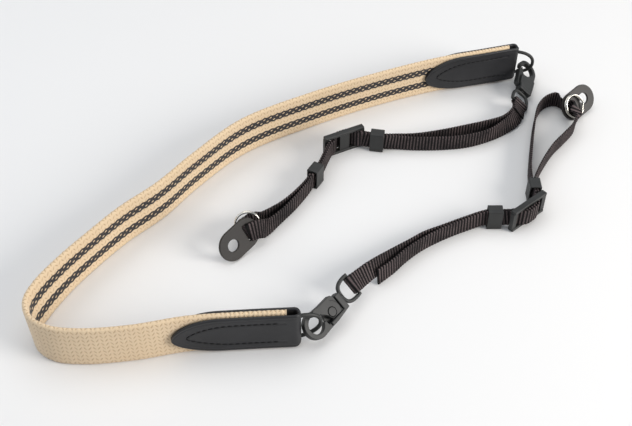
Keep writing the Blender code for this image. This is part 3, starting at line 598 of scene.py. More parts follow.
def eye_rows(side, seat):
    """Rows from the sewn end, round the eye's bar and on to the sewn stitches."""
    bar = place_in(seat, EYE_BAR_ALONG, 0.0, 0.0) - SHIFT
    across = up_across(seat)
    first = np.array(strap_rows(side.main[:1])[0])
    reach = first[:3] - bar
    ahead = unit(reach - (reach @ across) * across)
    out = np.cross(ahead, across)
    out = out if out @ np.array(seat)[:3, 2] > 0 else -out
    radius = EYE_WIRE / 2 + CLEARANCE + THIN_THICKNESS / 2
    shares = (0.40, 0.70, 1.00)
    leaves = []
    for sign in (-1.0, 1.0):
        rows = []
        for share in shares:
            place = bar + share * reach + sign * LAYER_PITCH / 2 * out
            up = unit((1 - share) * across + share * first[3:6])
            rows.append([*place, *up, EYE_SQUEEZE + (1 - EYE_SQUEEZE) * share])
        leaves.append(rows)
    wrap = []
    for angle in (-90.0, -135.0, -180.0, -225.0, -270.0):
        turn = math.radians(angle)
        place = bar + radius * (math.cos(turn) * ahead + math.sin(turn) * out)
        wrap.append([*place, *across, EYE_SQUEEZE])
    return leaves[0][::-1] + wrap + leaves[1]


def bend_rows(side):
    seat = slot_seat(side)
    across = up_across(seat)
    rows = []
    for row in side.bend:
        rows.append([*(plate_place(seat, row) - SHIFT), *across, row.narrow])
    return rows


def thin_strap_path(side):
    main = eye_rows(side, hook_seat(side)) + strap_rows(side.main[1:])
    main += paired_rows(side, 1.0) + strap_rows(side.main_leg)
    tail = strap_rows(side.tail) + paired_rows(side, -1.0) + strap_rows(side.tail_leg)
    path = smooth(main + (tail + bend_rows(side))[::-1], THIN_PATH_STEP)
    path[:, :3] += SHIFT
    return path


def clean_start():
    if bpy.context.object and bpy.context.object.mode != "OBJECT":
        bpy.ops.object.mode_set(mode="OBJECT")
    bpy.ops.object.select_all(action="DESELECT")


def pick(item):
    clean_start()
    item.select_set(True)
    bpy.context.view_layer.objects.active = item
    return item


def edit(item):
    pick(item)
    bpy.ops.object.mode_set(mode="EDIT")
    bpy.ops.mesh.select_all(action="SELECT")


def close_edit():
    """Turns every face outwards and leaves edit mode."""
    bpy.ops.mesh.select_all(action="SELECT")
    bpy.ops.mesh.normals_make_consistent(inside=False)
    bpy.ops.object.mode_set(mode="OBJECT")


def flat_section(width, thickness, step, edge_steps=4):
    """Points round a flat strip with rounded edges: across and out."""
    half = width / 2 - thickness / 2
    count = max(2, round(2 * half / step))
    points = []
    for sign in (1.0, -1.0):
        for index in range(count + 1):
            points.append((sign * (2 * half * index / count - half), sign * thickness / 2))
        for index in range(1, edge_steps):
            turn = math.pi / 2 - math.pi * index / edge_steps
            points.append((sign * (half + thickness / 2 * math.cos(turn)),
                           sign * thickness / 2 * math.sin(turn)))
    points.append(points[0])
    return np.array(points)


def section_lengths(section, thickness):
    """Length round the section that starts at the lower edge of its outer face."""
    steps = np.linalg.norm(np.diff(section, axis=0), axis=1)
    return np.concatenate([[0.0], np.cumsum(steps)]) + thickness / 2


def section_normals(section):
    ahead = np.roll(section[:-1], -1, axis=0)
    behind = np.roll(section[:-1], 1, axis=0)
    turn = ahead - behind
    normals = np.stack([-turn[:, 1], turn[:, 0]], axis=1)
    normals /= np.linalg.norm(normals, axis=1)[:, None]
    middle = section[:-1].mean(axis=0)
    side = np.sum(normals * (section[:-1] - middle), axis=1)
    normals *= np.where(side.sum() > 0, 1.0, -1.0)
    return np.vstack([normals, normals[:1]])


def roll_strip(rows, lengths, width, thickness, step, relief):
    """Rolls a grid into a closed flat strip along rows of place, up, width share, shift.

    The relief is worked out from the length along the strip, the length round it and the
    whole length round it."""
    section = flat_section(width, thickness, step)
    around = section_lengths(section, thickness)
    across_count = len(section) - 1
    along_count = len(rows) - 1
    clean_start()
    bpy.ops.mesh.primitive_grid_add(x_subdivisions=along_count, y_subdivisions=across_count,
                                    size=2.0, calc_uvs=True)
    item = bpy.context.active_object
    mesh = item.data
    if len(mesh.vertices) != (along_count + 1) * (across_count + 1):
        raise RuntimeError("the grid for a woven strip has an unexpected size")
    flat = np.empty(len(mesh.vertices) * 3)
    mesh.vertices.foreach_get("co", flat)
    flat = flat.reshape(-1, 3)
    i = np.rint((flat[:, 0] + 1) / 2 * along_count).astype(int)
    j = np.rint((flat[:, 1] + 1) / 2 * across_count).astype(int)
    ahead = tangents(rows)
    up = rows[:, 3:6] - np.sum(rows[:, 3:6] * ahead, axis=1)[:, None] * ahead
    up /= np.linalg.norm(up, axis=1)[:, None]
    out = np.cross(ahead, up)
    normals = section_normals(section)
    height = relief(lengths[i], around[j % across_count], around[-1])
    share = rows[i, 6]
    shift = rows[i, 7] if rows.shape[1] > 7 else 0.0
    across = section[j, 0] * share + shift + normals[j, 0] * height
    outward = section[j, 1] + normals[j, 1] * height
    places = rows[i, :3] + across[:, None] * up[i] + outward[:, None] * out[i]
    mesh.vertices.foreach_set("co", places.astype(np.float32).ravel())
    layer = mesh.uv_layers[0]
    layer.name = "strip"
    corner = np.empty(len(mesh.loops), int)
    mesh.loops.foreach_get("vertex_index", corner)
    uv = np.stack([lengths[i[corner]], around[j[corner]]], axis=1)
    layer.data.foreach_set("uv", uv.astype(np.float32).ravel())
    mesh.update()
    edit(item)
    bpy.ops.mesh.remove_doubles(threshold=MERGE_DISTANCE)
    bpy.ops.mesh.select_all(action="SELECT")
    bpy.ops.mesh.fill_holes(sides=0)
    close_edit()
    return item


def fill_plate(outlines, thickness):
    """A plate from drawn outlines: circles shaped to them, filled and extruded."""
    loops = []
    for outline in outlines:
        clean_start()
        bpy.ops.mesh.primitive_circle_add(vertices=len(outline), fill_type="NOTHING")
        loop = bpy.context.active_object
        for vertex, (x, y) in zip(loop.data.vertices, outline):
            vertex.co = (x, y, -thickness / 2)
        loops.append(loop)
    clean_start()
    for loop in loops:
        loop.select_set(True)
    bpy.context.view_layer.objects.active = loops[0]
    if len(loops) > 1:
        bpy.ops.object.join()
    item = bpy.context.active_object
    edit(item)
    bpy.ops.mesh.fill(use_beauty=True)
    bpy.ops.mesh.select_all(action="SELECT")
    bpy.ops.mesh.extrude_region_move(
        TRANSFORM_OT_translate={"value": (0.0, 0.0, thickness), "orient_type": "GLOBAL"})
    bpy.ops.mesh.select_all(action="SELECT")
    bpy.ops.mesh.normals_make_consistent(inside=False)
    bpy.ops.mesh.dissolve_limited(angle_limit=math.radians(0.5))
    bpy.ops.object.mode_set(mode="OBJECT")
    return item


def round_edges(item, width, segments=3, angle=35.0):
    pick(item)
    bevel = item.modifiers.new("rounding", "BEVEL")
    bevel.width = width
    bevel.segments = segments
    bevel.limit_method = "ANGLE"
    bevel.angle_limit = math.radians(angle)
    bpy.ops.object.modifier_apply(modifier=bevel.name)
    return item


def combine(item, other, operation):
    """Applies a Boolean of two pieces and removes the second one."""
    pick(item)
    modifier = item.modifiers.new("combine", "BOOLEAN")
    modifier.operation = operation
    modifier.solver = "EXACT"
    modifier.object = other
    bpy.ops.object.modifier_apply(modifier=modifier.name)
    bpy.data.objects.remove(other, do_unlink=True)
    return item


def bend_wire(points, radius, closed, sides=4):
    """A round wire along points, made as a bevelled curve and turned into a mesh."""
    curve = bpy.data.curves.new("wire", "CURVE")
    curve.dimensions = "3D"
    curve.fill_mode = "FULL"
    curve.bevel_depth = radius
    curve.bevel_resolution = sides
    curve.use_fill_caps = not closed
    spline = curve.splines.new("POLY")
    spline.points.add(len(points) - 1)
    for point, place in zip(spline.points, points):
        point.co = (*place, 1.0)
    spline.use_cyclic_u = closed
    wire = bpy.data.objects.new("wire", curve)
    bpy.context.scene.collection.objects.link(wire)
    pick(wire)
    bpy.ops.object.convert(target="MESH")
    item = bpy.context.active_object
    edit(item)
    bpy.ops.mesh.remove_doubles(threshold=MERGE_DISTANCE)
    close_edit()
    return item


def add_rod(radius, length, matrix, sides=40):
    clean_start()
    bpy.ops.mesh.primitive_cylinder_add(vertices=sides, radius=radius, depth=length)
    item = bpy.context.active_object
    item.data.transform(matrix)
    return item


def add_block(size, centre):
    clean_start()
    bpy.ops.mesh.primitive_cube_add(size=1.0)
    item = bpy.context.active_object
    item.data.transform(Matrix.Translation(centre) @ Matrix.Diagonal((*size, 1.0)))
    return item


# The colour slot that each finish belongs to
SLOTS = {
    "linen": "beige_webbing",
    "thin": "black_webbing",
    "tab": "black_leather",
    "lug": "black_leather",
    "plastic": "black_plastic",
    "nickel": "bright_ring",
}


def settle(item, name, kind, nodes, smooth_angle=PLATE_SMOOTH, body="strap", slot=None):
    """Gives a made piece its name, finish and body, and hides the nodes it stands for."""
    slot = slot or SLOTS[kind]
    item.name = name
    item.data.name = name
    item.data.materials.clear()
    item.data.materials.append(finish_for(kind))
    pick(item)
    bpy.ops.object.shade_smooth_by_angle(angle=math.radians(smooth_angle))
    if smooth_angle <= PLATE_SMOOTH:
        level = item.modifiers.new("flat_faces", "WEIGHTED_NORMAL")
        level.keep_sharp = True
        bpy.ops.object.modifier_apply(modifier=level.name)
    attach(item, body)
    if nodes:
        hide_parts(*nodes)
    return item


def sew(name, seats, size, slot):
    """One rounded thread stitch, copied to every seat and kept as one piece."""
    clean_start()
    bpy.ops.mesh.primitive_uv_sphere_add(segments=8, ring_count=6, radius=0.5)
    item = bpy.context.active_object
    bpy.ops.object.mode_set(mode="OBJECT")
    item.data.transform(ONTO_X)
    item.data.transform(Matrix.Diagonal((*size, 1.0)))
    one = item.data.copy()
    shape = bmesh.new()
    for seat in seats:
        start = len(shape.verts)
        shape.from_mesh(one)
        shape.verts.ensure_lookup_table()
        bmesh.ops.transform(shape, matrix=seat, verts=shape.verts[start:])
    shape.to_mesh(item.data)
    shape.free()
    bpy.data.meshes.remove(one)
    return settle(item, name, "thread", (), WOVEN_SMOOTH, slot=slot)


def maths(operation, flipped=False):
    """A method of Value that adds one Math node."""
    def run(value, *others):
        parts = (*others, value) if flipped else (value, *others)
        return value.finish.node("ShaderNodeMath", {"operation": operation},
                                 dict(enumerate(parts)))
    return run


class Value:
    """A socket of a finish that can stand in sums, so that shader sums read as sums."""

    def __init__(self, finish, socket):
        self.finish = finish
        self.socket = socket

    __add__ = __radd__ = maths("ADD")
    __sub__ = maths("SUBTRACT")
    __rsub__ = maths("SUBTRACT", flipped=True)
    __mul__ = __rmul__ = maths("MULTIPLY")
    __truediv__ = maths("DIVIDE")
    __gt__ = maths("GREATER_THAN")
    cos = maths("COSINE")
    sin = maths("SINE")
    size = maths("ABSOLUTE")
    part = maths("FRACT")
    most = maths("MAXIMUM")


class Finish:
    """A material on one Principled shader, with short ways to add its nodes."""

    def __init__(self, name, roughness=0.5, metallic=0.0, constants=None):
        self.material = bpy.data.materials.new(name)
        self.material.use_nodes = True
        self.tree = self.material.node_tree
        self.shader = self.tree.nodes["Principled BSDF"]
        self.shader.inputs["Roughness"].default_value = roughness
        self.shader.inputs["Metallic"].default_value = metallic
        for key, value in (constants or {}).items():
            self.shader.inputs[key].default_value = value

    def node(self, kind, settings, inputs, output=0):
        made = self.tree.nodes.new(kind)
        for key, value in settings.items():
            setattr(made, key, value)
        for key, value in inputs.items():
            socket = made.inputs[key]
            if isinstance(value, Value):
                self.tree.links.new(value.socket, socket)
            elif isinstance(value, tuple) and len(value) == 3 and socket.type == "RGBA":
                socket.default_value = (*value, 1.0)
            else:
                socket.default_value = value
        return Value(self, made.outputs[output])

    def mix(self, factor, first, second):
        return self.node("ShaderNodeMix", {"data_type": "RGBA"}, {0: factor, 6: first, 7: second}, 2)

    def blend(self, low, high, value):
        """0 below low, 1 above high and a smooth step between."""
        return self.node("ShaderNodeMapRange", {"interpolation_type": "SMOOTHSTEP"},
                         {0: value, 1: low, 2: high, 3: 0.0, 4: 1.0})

    def strip_place(self):
        return self.node("ShaderNodeUVMap", {"uv_map": "strip"}, {})

    def object_place(self):
        return self.node("ShaderNodeTexCoord", {}, {}, 3)

    def strip(self):
        """Millimetres along a strip and round it."""
        parts = {0: self.strip_place()}
        along = self.node("ShaderNodeSeparateXYZ", {}, parts, 0)
        around = self.node("ShaderNodeSeparateXYZ", {}, parts, 1)
        return along * 1000.0, around * 1000.0

    def noise(self, scale, detail=2.0, stretch=None, place=None):
        place = place or self.object_place()
        if stretch:
            place = self.node("ShaderNodeMapping", {}, {0: place, 3: stretch})
        return self.node("ShaderNodeTexNoise", {}, {"Vector": place, "Scale": scale,
                                                    "Detail": detail})

    def strip_noise(self, detail, along, around):
        return self.noise(1.0, detail, (along, around, 1.0), self.strip_place())

    def cells(self, scale):
        return self.node("ShaderNodeTexVoronoi", {"feature": "F1"},
                         {"Vector": self.object_place(), "Scale": scale})

    def feed(self, socket, value):
        self.tree.links.new(value.socket, self.shader.inputs[socket])

    def relief(self, height, distance, strength=1.0):
        bump = self.node("ShaderNodeBump", {}, {"Height": height, "Distance": distance,
                                                "Strength": strength})
        self.feed("Normal", bump)
        return self.material


def colour_of(name):
    return tuple(getattr(bpy.context.scene.strap_colours, name))


def shade(colour, share):
    return tuple(min(1.0, part * share) for part in colour)


def oval(along, across, length, width):
    """0 in the middle of an oval spot, 1 on its edge and more outside."""
    return (along / length) * (along / length) + (across / width) * (across / width)


def band_finish():
    """Linen webbing: rows of slanting dimples with painted shade in them, fibres, two chain stripes
    on one face.
    """
    sizes = bpy.context.scene.strap_sizes
    linen = colour_of("linen")
    width = sizes.band_width * 1000
    pitch = sizes.weave_pitch * 1000
    row = sizes.weave_row * 1000
    finish = Finish("woven_linen", 0.93, constants={"Sheen Weight": 0.18,
                                                    "Sheen Roughness": 0.6})
    along, around = finish.strip()
    wander = finish.strip_noise(2.0, 300.0, 300.0)
    column = along / pitch
    odd = (column * 0.5).part() > 0.5
    beside = (column.part() - 0.5) * pitch + (wander - 0.5) * 0.7
    down = ((around / row + wander * 0.16).part() - 0.5) * row
    beside = beside - down * (odd * 2.0 - 1.0) * DIMPLE_SLOPE
    dimple = oval(beside, down, DIMPLE_WIDTH, DIMPLE_LENGTH)
    fibre = finish.strip_noise(3.0, 1400.0, 2300.0)
    patch = finish.noise(60.0, 2.0)
    weave = finish.blend(0.15, 1.35, dimple + (fibre - 0.5) * 0.7)
    # Painted shade in the dimples, with random fibre tone mixed in: the dimples are coloured darker
    # than the linen around them.
    cloth = finish.mix(weave, (linen[0] * 0.73, linen[1] * 0.66, linen[2] * 0.59), linen)
    cloth = finish.mix(finish.blend(0.35, 0.75, patch) * 0.22, cloth,
                       (linen[0] * 0.86, linen[1] * 0.80, linen[2] * 0.72))
    chain = 2 * pitch
    turn = along * (2 * math.pi / chain)
    dark = None
    for share, lead in CHAIN_STRIPES:
        off = around - width * share
        wave = (turn + lead - math.pi / 2 - finish.blend(-0.3, 0.3, off) * math.pi).cos()
        inside = 1.0 - finish.blend(*CHAIN_FADE, off.size() + wave * CHAIN_WAVE)
        for row_sign, start in ((1.0, 0.25), (-1.0, 0.75)):
            step = off - row_sign * CHAIN_HOLE_OFF
            place = ((along / chain + start + lead / 6.28).part() - 0.5) * chain
            hole = oval(place - step * CHAIN_HOLE_SLANT, step, CHAIN_HOLE_LENGTH,
                        CHAIN_HOLE_WIDTH)
            inside = inside * finish.blend(0.50, 1.00, hole)
        dark = inside if dark is None else dark.most(inside)
    yarn = finish.mix(finish.blend(0.3, 0.8, fibre), shade(colour_of("stripe"), 0.6),
                      shade(colour_of("stripe"), 1.7))
    finish.feed("Base Color", finish.mix(dark, cloth, yarn))
    height = weave * 0.5 + fibre * 0.45 + dark * 0.5
    return finish.relief(height, 0.00022, 0.9)


def thin_finish():
    """Black webbing with cross ribs: painted shade in the grooves, lighter painted crests and a
    brown-purple painted highlight on the ribs where the light catches.
    """
    sizes = bpy.context.scene.strap_sizes
    thin = colour_of("thin_webbing")
    finish = Finish("ribbed_webbing", 0.62, constants={"Specular IOR Level": 0.28,
                                                       "Sheen Weight": 0.0})
    along, around = finish.strip()
    fibre = finish.strip_noise(2.0, 900.0, 3600.0)
    patch = finish.noise(90.0, 2.0)
    rib = (along * (math.pi / (sizes.rib_pitch * 1000))).sin().size()
    yarn = (around * (2 * math.pi / 0.55)).cos() * 0.5 + 0.5
    # Painted light and shade: the rib crests are coloured lighter and the grooves between them far
    # darker.
    lit_crests = finish.blend(0.58, 0.97, rib + (fibre - 0.5) * 0.35)
    # Painted highlight: brown-purple on the crests, in patches where the fibres catch the light.
    painted_rib_highlight = lit_crests * finish.blend(0.22, 0.72, fibre + (patch - 0.5) * 0.7)
    body = finish.mix(lit_crests, shade(thin, 0.22), shade(thin, 1.6))
    colour = finish.mix(painted_rib_highlight, body, PAINTED_RIB_HIGHLIGHT)
    finish.feed("Base Color", colour)
    finish.feed("Roughness", 0.85 - painted_rib_highlight * 0.35)
    return finish.relief(rib * 0.8 + yarn * 0.18 + fibre * 0.25, 0.00022, 0.9)


def leather_finish(name, colour, roughness, grain):
    """Smooth dyed leather: fine pores and soft wrinkles."""
    finish = Finish(name, roughness, constants={"Specular IOR Level": 0.38})
    pores = finish.cells(2600.0)
    wrinkle = finish.noise(420.0, 4.0)
    patch = finish.noise(45.0, 3.0)
    tone = finish.mix(finish.blend(0.3, 0.75, patch), shade(colour, 0.78), shade(colour, 1.22))
    tone = finish.mix(finish.blend(0.0, 0.35, pores) * 0.5 + 0.5, shade(colour, 0.55), tone)
    finish.feed("Base Color", tone)
    finish.feed("Roughness", roughness - 0.06 + patch * 0.10 + wrinkle * 0.06)
    return finish.relief(pores * 0.5 + wrinkle * grain, 0.00006, 0.55)


def plastic_finish():
    """Moulded charcoal nylon: fine spark grain and faint flow shading."""
    plastic = colour_of("plastic")
    finish = Finish("moulded_nylon", 0.5, constants={"Specular IOR Level": 0.42})
    grain = finish.noise(5200.0, 2.0)
    flow = finish.noise(110.0, 2.0)
    colour = finish.mix(finish.blend(0.3, 0.7, flow), shade(plastic, 0.85), shade(plastic, 1.25))
    colour = finish.mix(finish.blend(0.62, 0.8, grain) * 0.4, colour, shade(plastic, 2.2))
    finish.feed("Base Color", colour)
    finish.feed("Roughness", 0.42 + grain * 0.14)
    return finish.relief(grain, 0.00003, 0.5)


def nickel_finish():
    """Bright nickel wire with fine drawing marks and small dull patches."""
    nickel = colour_of("nickel")
    finish = Finish("bright_nickel", 0.2, 1.0)
    marks = finish.noise(900.0, 3.0, (1.0, 1.0, 5.0))
    patch = finish.noise(260.0, 2.0)
    finish.feed("Base Color", finish.mix(finish.blend(0.4, 0.75, patch), nickel,
                                         shade(nickel, 0.72)))
    finish.feed("Roughness", 0.15 + marks * 0.10)
    return finish.relief(marks, 0.000004, 0.2)


def thread_finish():
    """Waxed black sewing thread with its twist."""
    finish = Finish("waxed_thread", 0.6, constants={"Specular IOR Level": 0.25})
    twist = finish.noise(2400.0, 2.0)
    finish.feed("Base Color", finish.mix(twist, (0.0025, 0.0025, 0.003), (0.010, 0.010, 0.010)))
    finish.feed("Roughness", 0.5 + twist * 0.2)
    return finish.relief(twist, 0.00005, 0.6)


def floor_finish():
    """Pale table top with barely seen mottling."""
    floor = colour_of("floor")
    finish = Finish("pale_table", 0.7, constants={"Specular IOR Level": 0.25})
    mottle = finish.noise(5.0, 4.0)
    finish.feed("Base Color", finish.mix(mottle, shade(floor, 0.985), floor))
    return finish.relief(finish.noise(700.0, 2.0), 0.00002, 0.1)


FINISHES = {}


def finish_for(kind):
    """Each finish is made once and shared by the pieces that have it."""
    makers = {
        "linen": band_finish,
        "thin": thin_finish,
        "tab": lambda: leather_finish("tab_leather", colour_of("leather"), 0.44, 0.6),
        "lug": lambda: leather_finish("lug_leather", colour_of("lug_leather"), 0.46, 0.4),
        "plastic": plastic_finish,
        "nickel": nickel_finish,
        "thread": thread_finish,
        "floor": floor_finish,
    }
    if kind not in FINISHES:
        FINISHES[kind] = makers[kind]()
    return FINISHES[kind]


def side_path(side, path):
    """The band's path as seen from one side's tab."""
    return path if side.name == "front" else path[::-1]


def add_band():
    sizes = bpy.context.scene.strap_sizes
    width, thickness = sizes.band_width, sizes.band_thickness
    inset = sizes.band_end
    rows, lengths = evenly(band_path(), sizes.weave_pitch / 4, inset, -inset)

    def relief(along, place, whole):
        weave = np.cos(math.pi * along / sizes.weave_pitch)
        weave = weave * np.cos(2 * math.pi * place / sizes.weave_row)
        lower = np.minimum(place, whole - place)
        edge = np.minimum(np.abs(place - width - thickness / 2), lower)
        scallop = np.cos(2 * math.pi * along / sizes.weave_pitch)
        scallop = scallop * np.exp(-(edge / EDGE_LOOP_SPREAD) ** 2)
        inside = np.minimum(along, lengths[-1] - along) < TAB_LENGTH - inset - TAB_POINT
        loops = np.where(inside, EDGE_LOOP_HEIGHT_IN_TAB, EDGE_LOOP_HEIGHT)
        return WEAVE_HEIGHT * weave + loops * scallop

    item = roll_strip(rows, lengths, width, thickness, sizes.weave_row / 3, relief)
    settle(item, "woven_band", "linen", ("wide_webbing",), WOVEN_SMOOTH)


def tab_point_share(length):
    """The tab's width at a length from its tip, as a share of its full width."""
    rest = 1.0 - min(1.0, max(0.0, length) / TAB_POINT)
    return max(TAB_TIP_SHARE, (1.0 - rest ** 2) ** TAB_POINT_POWER)


def stitch_half(length):
    """Half the distance between the two stitch lines at a length from the tab's tip."""
    sizes = bpy.context.scene.strap_sizes
    start = length - sizes.stitch_start
    if start < 0:
        return 0.0
    rest = 1.0 - min(1.0, start / (TAB_POINT * STITCH_POINT_SHARE))
    inner, outer = STITCH_POINT_POWERS
    return (TAB_WIDTH / 2 - sizes.stitch_inset) * (1.0 - rest ** inner) ** outer


def leaf_rows(side, sign):
    """One leaf of a folded tab from the fold to its tip, in the leather's middle."""
    sizes = bpy.context.scene.strap_sizes
    gap = sizes.band_thickness / 2 + CLEARANCE + TAB_LEATHER / 2
    path = side_path(side, band_path())
    middle, _ = evenly(path, TAB_ROW_STEP, gap + TAB_LEATHER / 2, TAB_LENGTH)
    rows = np.hstack([middle, np.zeros((len(middle), 1))])
    ahead = tangents(middle)
    out = np.cross(middle[:, 3:6], ahead)
    out /= np.linalg.norm(out, axis=1)[:, None]
    rows[:, :3] += sign * gap * out
    lengths = run_lengths(rows)
    for row, length in zip(rows, lengths):
        share, shift = corner_share(length + gap)
        row[6] = tab_point_share(lengths[-1] - length) * share
        row[7] = shift
    return rows, lengths, middle


def corner_lift(distance, radius):
    """How far a rounded corner takes the edge in at a distance from the end."""
    if distance >= radius:
        return 0.0
    return radius - math.sqrt(radius ** 2 - (radius - distance) ** 2)


def corner_share(distance):
    """A tab's width share and shift at a distance from its fold, for its rounded corners."""
    radius = bpy.context.scene.strap_sizes.tab_corner
    low = corner_lift(distance, radius)
    high = corner_lift(distance, radius * UPPER_CORNER_SHARE)
    return 1.0 - (low + high) / TAB_WIDTH, (low - high) / 2


def tab_strip(side):
    """Rows of the whole leather strip: leaf, fold and leaf."""
    sizes = bpy.context.scene.strap_sizes
    gap = sizes.band_thickness / 2 + CLEARANCE + TAB_LEATHER / 2
    near, _, middle = leaf_rows(side, 1.0)
    far, _, _ = leaf_rows(side, -1.0)
    ahead = tangents(middle)[0]
    up = middle[0][3:6]
    across = unit(np.cross(up, ahead))
    fold = []
    for step in range(1, 18):
        turn = math.radians(90.0 - 10.0 * step)
        place = middle[0][:3] + gap * (-ahead * math.cos(turn) + across * math.sin(turn))
        fold.append([*place, *up, *corner_share(gap * (1.0 - math.cos(turn)))])
    rows = np.vstack([near[::-1], fold, far])
    return rows, frame_matrix(middle[0][:3], -ahead, up), gap


def add_tab(side):
    sizes = bpy.context.scene.strap_sizes
    rows, seat, gap = tab_strip(side)
    lengths = run_lengths(rows)
    mid_row = len(rows) // 4
    facing = np.cross(tangents(rows)[mid_row], rows[mid_row, 3:6])
    leaf_out = rows[mid_row, :3] - rows[len(rows) - 1 - mid_row, :3]
    outer_first = float(facing @ leaf_out) > 0
    half_of = np.vectorize(stitch_half)
    share_of = np.vectorize(tab_point_share)

    def relief(along, place, _):
        first = place <= TAB_WIDTH
        across = np.where(first, place - TAB_WIDTH / 2,
                          TAB_WIDTH * 1.5 + TAB_LEATHER * 0.57 - place)
        tip = np.minimum(along, lengths[-1] - along)
        wide = TAB_WIDTH / 2 * share_of(tip)
        off = np.abs(across) * share_of(tip)
        crease = np.exp(-((wide - off - sizes.crease_inset) / CREASE_SPREAD) ** 2)
        line = np.exp(-((off - half_of(tip)) / GROOVE_SPREAD) ** 2)
        inner = lengths[-1] / 2 - tip
        line = line * (tip > sizes.stitch_start) * (inner > sizes.stitch_stop)
        outer = first if outer_first else ~first
        crease = crease * (inner > 0.0035)
        return np.where(outer, -CREASE_DEPTH * crease - GROOVE_DEPTH * line, 0.0)

    item = roll_strip(rows, lengths, TAB_WIDTH, TAB_LEATHER, TAB_SECTION_STEP, relief)
    for sign in (1.0, -1.0):
        size = (gap * TAB_WINDOW_DEPTH, D_WIRE + 3 * CLEARANCE, D_WIRE + 2 * CLEARANCE)
        window = add_block(size, (gap + CLEARANCE, 0.0, sign * (D_BAR - CLEARANCE) / 2))
        turn = math.radians(side.swing * TAB_WINDOW_TURN)
        window.data.transform(seat @ Matrix.Rotation(turn, 4, "Z"))
        combine(item, window, "DIFFERENCE")
    settle(item, "tab_leather_" + side.name, "tab", ("leather_tab_" + side.name,), TAB_SMOOTH)
    seats = []
    for sign in (1.0, -1.0):
        leaf, run, _ = leaf_rows(side, sign)
        seats += stitch_seats(leaf, run, sign)
    size = (sizes.stitch_length, *TAB_THREAD)
    sew("tab_stitches_" + side.name, seats, size, "black_leather")


def surface_seat(rows, lengths, at, across, out, side_sign, ahead_across):
    """A stitch's place on a strip: X along its line and Z out of the leather."""
    row = np.array([np.interp(at, lengths, column) for column in rows.T])
    step = np.array([np.interp(at + 0.0004, lengths, column) for column in rows.T])
    ahead = unit(step[:3] - row[:3])
    up = unit(row[3:6] - (row[3:6] @ ahead) * ahead)
    outward = np.cross(up, ahead) * side_sign
    place = row[:3] + up * across + outward * out
    return frame_matrix(place, ahead + up * ahead_across, outward)


def stitch_seats(leaf, run, sign):
    """Seats of the stitches that run down both lines of one leaf and meet at its tip."""
    sizes = bpy.context.scene.strap_sizes
    seats = []
    for line in (1.0, -1.0):
        tip = sizes.stitch_start + sizes.stitch_pitch * 0.3
        while tip < run[-1] - sizes.stitch_stop:
            half = stitch_half(tip)
            ahead = stitch_half(tip + 0.0005)
            slope = (half - ahead) / 0.0005 * line
            across = half * line
            seats.append(surface_seat(leaf, run, run[-1] - tip, across,
                                      TAB_LEATHER / 2 - STITCH_SUNK, sign, slope))
            tip += sizes.stitch_pitch / math.hypot(1.0, slope)
    return seats


def add_d_ring(side):
    _, seat, _ = tab_strip(side)
    ring = bend_wire(d_shape(D_BAR, D_DEPTH, D_FULLNESS), D_WIRE / 2, True, 5)
    ring.data.transform(Matrix.Rotation(math.radians(90), 4, "X"))
    ring.data.transform(seat @ Matrix.Rotation(math.radians(side.swing), 4, "Z"))
    settle(ring, "tab_ring_" + side.name, "plastic", ("d_ring_" + side.name,), WIRE_SMOOTH)


def add_thin_strap(side):
    sizes = bpy.context.scene.strap_sizes
    path = thin_strap_path(side)
    rows, lengths = evenly(path, sizes.rib_pitch / 6)

    def relief(along, *_):
        rib = np.abs(np.sin(math.pi * along / sizes.rib_pitch)) ** 0.7
        return sizes.rib_height * (rib - 0.6)

    item = roll_strip(rows, lengths, THIN_WIDTH, THIN_THICKNESS, THIN_SECTION_STEP, relief)
    settle(item, "ribbed_strap_" + side.name, "thin", ("thin_strap_" + side.name,),
           WOVEN_SMOOTH)
    bar = place_in(hook_seat(side), EYE_BAR_ALONG, 0.0, 0.0)
    near = int(np.argmin(np.linalg.norm(rows[:400, :3] - bar, axis=1)))
    facing = np.cross(rows[near, 3:6], tangents(rows)[near])
    sign = 1.0 if facing @ (rows[near, :3] - bar) > 0 else -1.0
    seats = []
    for at in (*STRAP_STITCH_ROWS, *(2 * lengths[near] - row for row in STRAP_STITCH_ROWS)):
        for step in range(-2, 3):
            seats.append(surface_seat(rows, lengths, at, step * STRAP_STITCH_STEP,
                                      THIN_THICKNESS / 2, sign, 8.0))
    sew("strap_stitches_" + side.name, seats, STRAP_STITCH, "black_webbing")


def add_keeper(name, spot):
    centre, ahead, left = spot_frame(spot, KEEPER_HEIGHT)
    seat = frame_matrix(centre + SHIFT, left, ahead)
    outer = rounded_box(KEEPER_DEPTH, KEEPER_HEIGHT, KEEPER_WALL, 0.0, 5)
    inner = rounded_box(KEEPER_DEPTH - 2 * KEEPER_WALL, KEEPER_HEIGHT - 2 * KEEPER_WALL,
                        KEEPER_WALL * 0.5, 0.0, 3)
    item = fill_plate([outer, inner], KEEPER_LENGTH)
    round_edges(item, KEEPER_ROUNDING, 3, 50.0)
    item.data.transform(seat)
    settle(item, "strap_" + name, "plastic", (name,))


